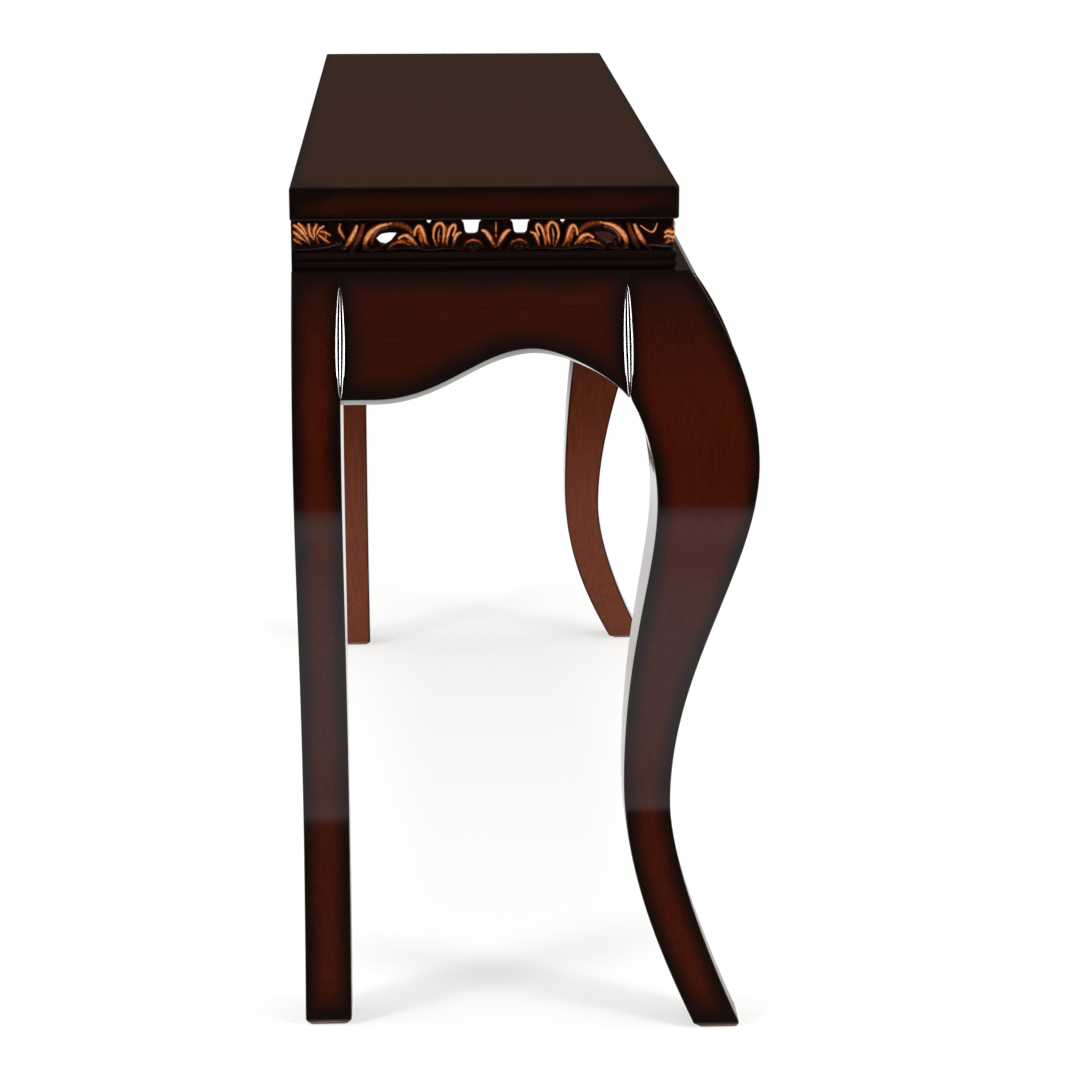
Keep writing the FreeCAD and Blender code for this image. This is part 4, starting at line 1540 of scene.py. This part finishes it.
@dataclass(frozen=True)
class CarvedFrieze:
    """A pierced board of scrolls and leaves between the ledge and the top."""

    places: Places
    run: Run
    end_middle: float = 163.0
    front_pitch: float = 395.0
    thickness: float = 14.0
    ground_depth: float = 5.2
    fan_start: float = 143.0
    fan_end: float = 184.0
    # An end shorter than this has the corner leaf in place of the spread one
    fan_least: float = 170.0
    samples: int = 48
    # Ridges are this much broader than their strokes, stand at most so many radii above the ground, are
    # this much lower at their ends and stop so far before the back
    breadth: float = 1.4
    steepest: float = 1.75
    lift_at_ends: float = 0.7
    ridge_back: float = 1.0
    ridge_roundness: int = 2
    # Gold is wiped on this many radii from a crest, fading over the last of them, and thins towards the foot.
    #     # Its narrow band on the crest is partly a painted highlight
    gold_reach: float = 1.2
    gold_fade: float = 1.05
    gold_at_foot: float = 0.1
    warmth_at_foot: float = 0.3
    gold_low: float = 3.0
    gold_high: float = 14.0
    voxel: float = 0.6
    smoothing: int = 3
    smoothing_strength: float = 0.5
    most_triangles: int = 150_000

    @property
    def height(self) -> float:
        """Return the board's height."""
        return self.places.underside_z - self.places.frieze_z

    @property
    def length(self) -> float:
        """Return the board's length along its outer face."""
        return FrameRun(self.places, self.run).length

    def motifs(self) -> list[Motif]:
        """Return the motifs along the board.

        Returns:
            The motifs, in order.
        """
        if self.run is not Run.FRONT:
            return [Motif(self.end_middle, self.end_middle, self.length - self.end_middle)]
        middle = self.length / 2
        half = self.front_pitch / 2
        end = middle - self.front_pitch
        return [Motif(end, end, half), Motif(middle, half, half), Motif(self.length - end, half, end)]

    def strokes(self) -> Lines:
        """Return each stroke on the board with its middle line.

        Returns:
            The strokes and their lines.
        """
        found = []
        for motif in self.motifs():
            for stroke in CENTRE_STROKES:
                found.append((stroke, self.line(stroke, motif.middle, 1.0, 1.0)))
            for sign, reach in ((-1.0, motif.behind), (1.0, motif.ahead)):
                corner = reach < self.fan_least
                stretch = 1.0 if corner else (reach - self.fan_start) / (self.fan_end - self.fan_start)
                for stroke in HALF_STROKES + (CORNER_STROKES if corner else FAN_STROKES):
                    found.append((stroke, self.line(stroke, motif.middle, sign, stretch)))
        return found

    def line(self, stroke: Stroke, middle: float, sign: float, stretch: float) -> list[Vector]:
        """Return points along a stroke's middle line.

        Args:
            stroke: The stroke.
            middle: Where the motif's middle lies along the board.
            sign: 1 for the half ahead of the middle and -1 for the half behind it.
            stretch: How much the spread leaf is stretched to fill its end.

        Returns:
            The points, as distance along, depth and height above the board's foot.
        """
        places = []
        for out, rise in stroke.points:
            if out > self.fan_start:
                out = self.fan_start + (out - self.fan_start) * stretch
            places.append(Vector((middle + sign * out, self.ground_depth, rise)))
        points = []
        for step in range(self.samples):
            share = step / (self.samples - 1)
            point = through(places, share)
            radius = self.radius(stroke, share)
            lift = stroke.lift * lerp(self.lift_at_ends, 1.0, math.sin(math.pi * share))
            point.y = self.ground_depth - min(lift, radius * self.steepest) + radius
            points.append(point)
        return points

    def radius(self, stroke: Stroke, share: float) -> float:
        """Return a stroke's radius at a share of its length.

        Args:
            stroke: The stroke.
            share: How far along it, from 0 to 1.

        Returns:
            The radius in millimetres.
        """
        root, belly, tip = stroke.widths
        width = lerp(lerp(root, belly, smooth(share * 2)), tip, smooth(share * 2 - 1))
        return width * self.breadth / 2

    def build(self, finishes: Finishes) -> None:
        """Model the board, carve it and dress it.

        Args:
            finishes: The table's finishes.
        """
        strokes = self.strokes()
        board = self.pierced_board()
        ridges = self.ridges(strokes)
        piece = join([board, ridges], f"carved_frieze_{self.run.value}")
        add_modifier(piece, "REMESH", mode="VOXEL", voxel_size=self.voxel * MM)
        add_modifier(piece, "SMOOTH", factor=self.smoothing_strength, iterations=self.smoothing)
        self.trim(piece)
        triangles = sum(len(face.vertices) - 2 for face in piece.data.polygons)
        if triangles > self.most_triangles:
            add_modifier(piece, "DECIMATE", ratio=self.most_triangles / triangles)
        self.wipe_gold_and_crest_light(piece, strokes)
        side = FrameRun(self.places, self.run)
        for vertex in piece.data.vertices:
            along, depth, rise = vertex.co / MM
            vertex.co = Vector(side.place(along, depth, self.places.frieze_z + rise)) * MM
        face_outwards(piece)
        dress(piece, [finishes.carving], f"frieze_{self.run.value}")

    def pierced_board(self) -> Piece:
        """Return the ground that the carving stands on, with its piercings cut.

        Returns:
            The board.
        """
        length, thickness, height, ground = self.length, self.thickness, self.height, self.ground_depth
        board = block(
            "frieze_ground", (1, 1, 1), lambda a, b, c: (a * length, lerp(ground, thickness, b), c * height)
        )
        cutters = []
        for motif in self.motifs():
            for sign in (-1.0, 1.0):
                for outline in PIERCINGS:
                    cutters.append(self.cutter([(motif.middle + sign * out, rise) for out, rise in outline]))
        cutter = join(cutters, "piercings")
        add_modifier(board, "BOOLEAN", object=cutter, operation="DIFFERENCE", solver="EXACT")
        bpy.data.objects.remove(cutter)
        return board

    def cutter(self, outline: Sequence[Pole]) -> Piece:
        """Return a prism through the board with an outline of distances along and heights.

        Args:
            outline: The outline's corners.

        Returns:
            The prism.
        """
        bpy.ops.object.select_all(action="DESELECT")
        bpy.ops.mesh.primitive_circle_add(vertices=len(outline), fill_type="NGON")
        cutter = bpy.context.active_object
        for vertex, (along, rise) in zip(cutter.data.vertices, outline):
            vertex.co = Vector((along, 0, rise)) * MM
        right_through = {"value": (0, 2 * self.thickness * MM, 0)}
        with editing(cutter):
            bpy.ops.mesh.extrude_region_move(TRANSFORM_OT_translate=right_through)
        face_outwards(cutter)
        return cutter

    def ridges(self, strokes: Lines) -> Piece:
        """Return the strokes as round ridges.

        Args:
            strokes: The strokes and their lines.

        Returns:
            The ridges, as one piece.
        """
        bpy.ops.object.select_all(action="DESELECT")
        bpy.ops.curve.primitive_nurbs_path_add(location=(0, 0, 0))
        curve = bpy.context.active_object.data
        curve.splines.clear()
        curve.bevel_depth = MM
        curve.bevel_resolution = self.ridge_roundness
        curve.use_fill_caps = True
        for stroke, points in strokes:
            spline = curve.splines.new("POLY")
            spline.points.add(len(points) - 1)
            for index, point in enumerate(points):
                spline.points[index].co = (*(point * MM), 1.0)
                spline.points[index].radius = self.radius(stroke, index / (len(points) - 1))
        bpy.ops.object.convert(target="MESH")
        ridges = bpy.context.active_object
        for vertex in ridges.data.vertices:
            vertex.co.y = min(vertex.co.y, (self.thickness - self.ridge_back) * MM)
            vertex.co.z = min(max(vertex.co.z, 0), self.height * MM)
        return ridges

    def trim(self, piece: Piece) -> None:
        """Hold a carving within the board's box and cut its mitres.

        Args:
            piece: The carving.
        """
        for vertex in piece.data.vertices:
            vertex.co.y = min(max(vertex.co.y, 0), self.thickness * MM)
            vertex.co.z = min(max(vertex.co.z, 0), self.height * MM)
        slant = math.sqrt(0.5)
        with editing(piece):
            for end, outwards in ((0, -slant), (self.length * MM, slant)):
                bpy.ops.mesh.select_all(action="SELECT")
                bpy.ops.mesh.bisect(
                    plane_co=(end, 0, 0), plane_no=(outwards, slant, 0), use_fill=True, clear_outer=True
                )

    def wipe_gold_and_crest_light(self, piece: Piece, strokes: Lines) -> None:
        """Store on a carving how high each point stands, which darkens its hollows as partly painted shade,
        and how much gold is wiped on it, narrowed onto the crests as partly a painted highlight.

        Args:
            piece: The carving.
            strokes: The strokes and their lines.
        """
        crests = []
        for stroke, points in strokes:
            for index, point in enumerate(points):
                radius = self.radius(stroke, index / (len(points) - 1))
                crests.append((Vector((point.x, point.y - radius, point.z)), radius, stroke))
        tree = search_tree([place for place, _, _ in crests])
        gilt = []
        relief = []
        for vertex in piece.data.vertices:
            place = vertex.co / MM
            _, index, distance = tree.find(place)
            _, radius, stroke = crests[index]
            wiped = smooth((self.gold_reach - distance / radius / stroke.spread) / self.gold_fade)
            high = smooth((place.z - self.gold_low) / (self.gold_high - self.gold_low))
            gilt.append(stroke.gilt * wiped * lerp(self.gold_at_foot, 1.0, high))
            raised = smooth((self.ground_depth - place.y) / self.ground_depth)
            relief.append(raised * stroke.warmth * lerp(self.warmth_at_foot, 1.0, high))
        set_attribute(piece, GILT_AND_CREST_LIGHT_ATTRIBUTE, gilt)
        set_attribute(piece, RELIEF_SHADE_ATTRIBUTE, relief)


@dataclass(frozen=True)
class HiddenFraming:
    """The blocks, rails and fasteners inside the table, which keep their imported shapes."""

    stained: tuple[str, ...] = ("corner_post", "top_bearer", "frieze_dowels")
    wooden: tuple[str, ...] = ("corner_brace", "apron_dowels")
    steel: tuple[str, ...] = ("hanger_", "post_screws", "bearer_screws", "brace_screws")

    def build(self, finishes: Finishes) -> None:
        """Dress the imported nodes.

        Args:
            finishes: The table's finishes.
        """
        choices = (
            (self.stained, finishes.stained_hardwood),
            (self.wooden, finishes.hardwood),
            (self.steel, finishes.steel),
        )
        for name, node in frame["nodes"].items():
            for starts, finish in choices:
                if name.startswith(starts):
                    node.data.materials.clear()
                    node.data.materials.append(finish)
                    LOG.info("%s keeps its packed shape", name)


@dataclass(frozen=True)
class SoftBox:
    """A rectangular studio light, with its place and aim in metres."""

    name: str
    place: Point
    aim: Point
    width: float
    height: float
    watts: float
    # A light kept to the pieces whose names start so is mirrored in them. The others show in no gloss.
    kept_to: str | None = None

    def build(self) -> None:
        """Add the light."""
        bpy.ops.object.select_all(action="DESELECT")
        bpy.ops.object.light_add(type="AREA", location=self.place)
        light = bpy.context.active_object
        light.name = self.name
        light.rotation_euler = (Vector(self.aim) - Vector(self.place)).to_track_quat("-Z", "Y").to_euler()
        light.data.shape = "RECTANGLE"
        light.data.size = self.width
        light.data.size_y = self.height
        light.data.energy = self.watts
        light.visible_glossy = self.kept_to is not None
        if self.kept_to is not None:
            pieces = bpy.data.collections.new(f"{self.name}_pieces")
            for piece in bpy.data.objects:
                if piece.name.startswith(self.kept_to):
                    pieces.objects.link(piece)
            light.light_linking.receiver_collection = pieces


# The lights at the left side. Each has a twin at the right.
SIDE_LIGHTS = (
    SoftBox("softbox", (-1.6, 2.3, 1.25), aim=(-0.4, 0.0, 0.45), width=0.6, height=1.7, watts=64.0),
    SoftBox(
        "strip", (-0.95, 2.0, 1.45), aim=(-0.65, 0.0, 0.65), width=0.26, height=1.4, watts=66.0,
        kept_to="slim_reeds",
    ),
    SoftBox("panel", (0.0, 2.4, 1.55), aim=(0.0, 0.0, 0.6), width=2.4, height=0.6, watts=42.0),
)
OVERHEAD_LIGHT = SoftBox(
    "overhead_softbox", (0.0, 0.0, 2.8), aim=(0.0, 0.0, 0.0), width=2.2, height=1.2, watts=60.0
)


@dataclass(frozen=True)
class Studio:
    """The pale floor, the soft lights and the camera, in metres."""

    floor_size: float = 60.0
    # The floor is pale paper that turns dark where it fades out, a painted falloff of light. The room is
    # white, and warm in the gloss.
    paper_colour: str = "#eceae7"
    painted_falloff_colour: str = "#1c1b1a"
    white_colour: str = "#ffffff"
    mirrored_colour: str = "#e2c4ad"
    camera_place: Point = (-3.2735, 0.0932, 1.1727)
    camera_pitch: float = 75.14
    camera_turn: float = -92.3155
    lens: float = 100.0
    sensor: float = 36.0
    # The floor keeps the table's shadow this near to the table, and is plain white further out
    shadow_reach: float = 0.55
    shadow_weight: float = 0.45
    # The white sweep that the gloss mirrors fades out between these places before the near end
    sweep_before: Span = (-1.55, -1.05)
    # The mirrored sweep is brighter before the table and brightest behind it, and dimmed under its near end
    # as painted shadow
    near_place: float = -0.85
    near_sweep: float = 0.42
    under_place: float = -0.55
    under_sweep_painted_shadow: float = 0.2
    far_place: float = 0.1
    far_sweep: float = 0.95
    # The mirrored sweep is a painted pool of light on a strip of paper, dimming to a share of itself past its
    # sides and its far end
    sweep_side: Span = (0.5, 1.5)
    sweep_end: Span = (1.8, 3.0)
    sweep_outside: float = 0.25
    room_light: float = 0.1
    # What the gloss mirrors of the room before the table and behind it, and how it turns to either
    mirrored_room: Span = (0.02, 0.06)
    room_turn: Span = (-0.5, 0.5)
    # The soft glow that it mirrors at both sides, and how far aside and how high up that begins and is full
    mirrored_sides: float = 1.0
    glow_aside: Span = (0.45, 0.95)
    glow_rise: Span = (0.0, 0.5)

    def build(self) -> None:
        """Add the lights, the floor, the world and the camera."""
        for light in SIDE_LIGHTS:
            x, y, z = light.place
            for side, place in (("left", (x, y, z)), ("right", (x, -y, z))):
                replace(light, name=f"{side}_{light.name}", place=place).build()
        OVERHEAD_LIGHT.build()
        self.add_floor()
        self.light_world()
        self.add_camera()

    def add_floor(self) -> None:
        """Add the floor: white to the eye and in near reflections, with the table's shadow on it. In
        reflections it is a painted pool of light, with painted shadow under the table's near end.
        """
        bpy.ops.object.select_all(action="DESELECT")
        bpy.ops.mesh.primitive_plane_add(size=self.floor_size)
        floor = bpy.context.active_object
        floor.name = "studio_floor"
        material, tree = new_material("white_studio_sweep")
        place = add_node(tree, "TexCoord", out="Object")
        along, across, _ = add_node(tree, "SeparateXYZ", (place,), out=None).outputs
        sizes = [add_node(tree, "Math", (axis,), operation="ABSOLUTE") for axis in (along, across)]
        outside = [
            add_node(tree, "Math", (size, half), operation="SUBTRACT")
            for size, half in zip(sizes, CAD_BOX[1])
        ]
        away = add_node(tree, "Math", outside, operation="MAXIMUM")
        # Each eased value: what it follows, between which values, and from what to what it goes
        changes = (
            (away, (0.0, self.shadow_reach), (1 - self.shadow_weight, 1.0)),
            (along, self.sweep_before, (0.0, 1.0)),
            (sizes[1], self.sweep_side, (1.0, self.sweep_outside)),
            (along, self.sweep_end, (1.0, self.sweep_outside)),
            (along, (self.near_place, self.under_place), (self.near_sweep, self.under_sweep_painted_shadow)),
            (along, (self.under_place, self.far_place), (0.0, self.far_sweep)),
        )
        veil, sweep, aside, end, before, behind = (
            add_node(tree, "MapRange", (value, *between, *goes), **EASED)
            for value, between, goes in changes
        )
        eye, mirror = kinds_of_ray(tree)
        shown = add_node(tree, "Math", (mirror, sweep), operation="MULTIPLY")
        seen = add_node(tree, "Math", (eye, shown), operation="MAXIMUM")
        share = add_node(tree, "Math", (seen, veil), operation="MULTIPLY")
        on_paper = add_node(tree, "Math", (aside, end), operation="MULTIPLY")
        lit = add_node(tree, "Math", (before, behind), operation="MAXIMUM")
        glow = add_node(tree, "Math", (lit, on_paper), operation="MULTIPLY")
        strength = add_node(tree, "Math", (eye, glow), operation="MAXIMUM")
        tones = {0: sweep, 6: linear(self.painted_falloff_colour), 7: linear(self.paper_colour)}
        colour = add_node(tree, "Mix", tones, **COLOURS)
        paper = add_node(tree, "BsdfDiffuse", {"Color": colour})
        white = add_node(tree, "Emission", {"Color": linear(self.white_colour), "Strength": strength})
        surface = add_node(tree, "MixShader", (share, paper, white))
        add_node(tree, "OutputMaterial", {"Surface": surface}, out=None)
        floor.data.materials.append(material)

    def light_world(self) -> None:
        """Make the room white to the eye and dim in reflections and as light."""
        world = bpy.data.worlds.new("studio_room")
        bpy.context.scene.world = world
        world.use_nodes = True
        tree = world.node_tree
        tree.nodes.clear()
        eye, mirror = kinds_of_ray(tree)
        towards = add_node(tree, "TexCoord", out="Generated")
        along, across, up = add_node(tree, "SeparateXYZ", (towards,), out=None).outputs
        room = add_node(tree, "MapRange", (along, *self.room_turn, *self.mirrored_room))
        sideways = add_node(tree, "Math", (across,), operation="ABSOLUTE")
        glow = (sideways, *self.glow_aside, 0.0, self.mirrored_sides)
        aside = add_node(tree, "MapRange", glow, **EASED)
        raised = add_node(tree, "MapRange", (up, *self.glow_rise), **EASED)
        glowing = add_node(tree, "Math", (aside, raised, room), operation="MULTIPLY_ADD")
        lit = add_node(tree, "MapRange", {"Value": mirror, "To Min": self.room_light, "To Max": glowing})
        strength = add_node(tree, "Math", (eye, lit), operation="MAXIMUM")
        tones = {0: mirror, 6: linear(self.white_colour), 7: linear(self.mirrored_colour)}
        colour = add_node(tree, "Mix", tones, **COLOURS)
        light = add_node(tree, "Background", {"Color": colour, "Strength": strength})
        add_node(tree, "OutputWorld", {"Surface": light}, out=None)

    def add_camera(self) -> None:
        """Add the camera at the photograph's place."""
        bpy.ops.object.select_all(action="DESELECT")
        turn = (math.radians(self.camera_pitch), 0.0, math.radians(self.camera_turn))
        bpy.ops.object.camera_add(location=self.camera_place, rotation=turn)
        camera = bpy.context.active_object
        camera.data.lens = self.lens
        camera.data.sensor_width = self.sensor
        bpy.context.scene.camera = camera


def main() -> None:
    """Build every sub-assembly in order, then the studio round them."""
    logging.basicConfig(level=logging.INFO, format="%(message)s")
    bpy.context.scene.view_settings.view_transform = "Standard"
    places = Places.from_frame()
    template = Template(leg_top=places.ledge_z)
    finishes = Finishes()
    TableTop(places).build(finishes)
    for run in (Run.FRONT, Run.LEFT):
        CarvedFrieze(places, run).build(finishes)
        Apron(places, template, run).build(finishes)
    for run in Run:
        Ledge(places, run).build(finishes)
    for row in Row:
        Leg(places, template, row).build(finishes)
    for node in ("reeds_left_front", "reeds_left_back", "reeds_front_left"):
        Reeds(places, template, node).build(finishes)
    Board("frieze_back", mitred=True).build(finishes)
    Board("apron_back", mitred=False).build(finishes)
    HiddenFraming().build(finishes)
    Studio().build()


if __name__ == "__main__":
    main()
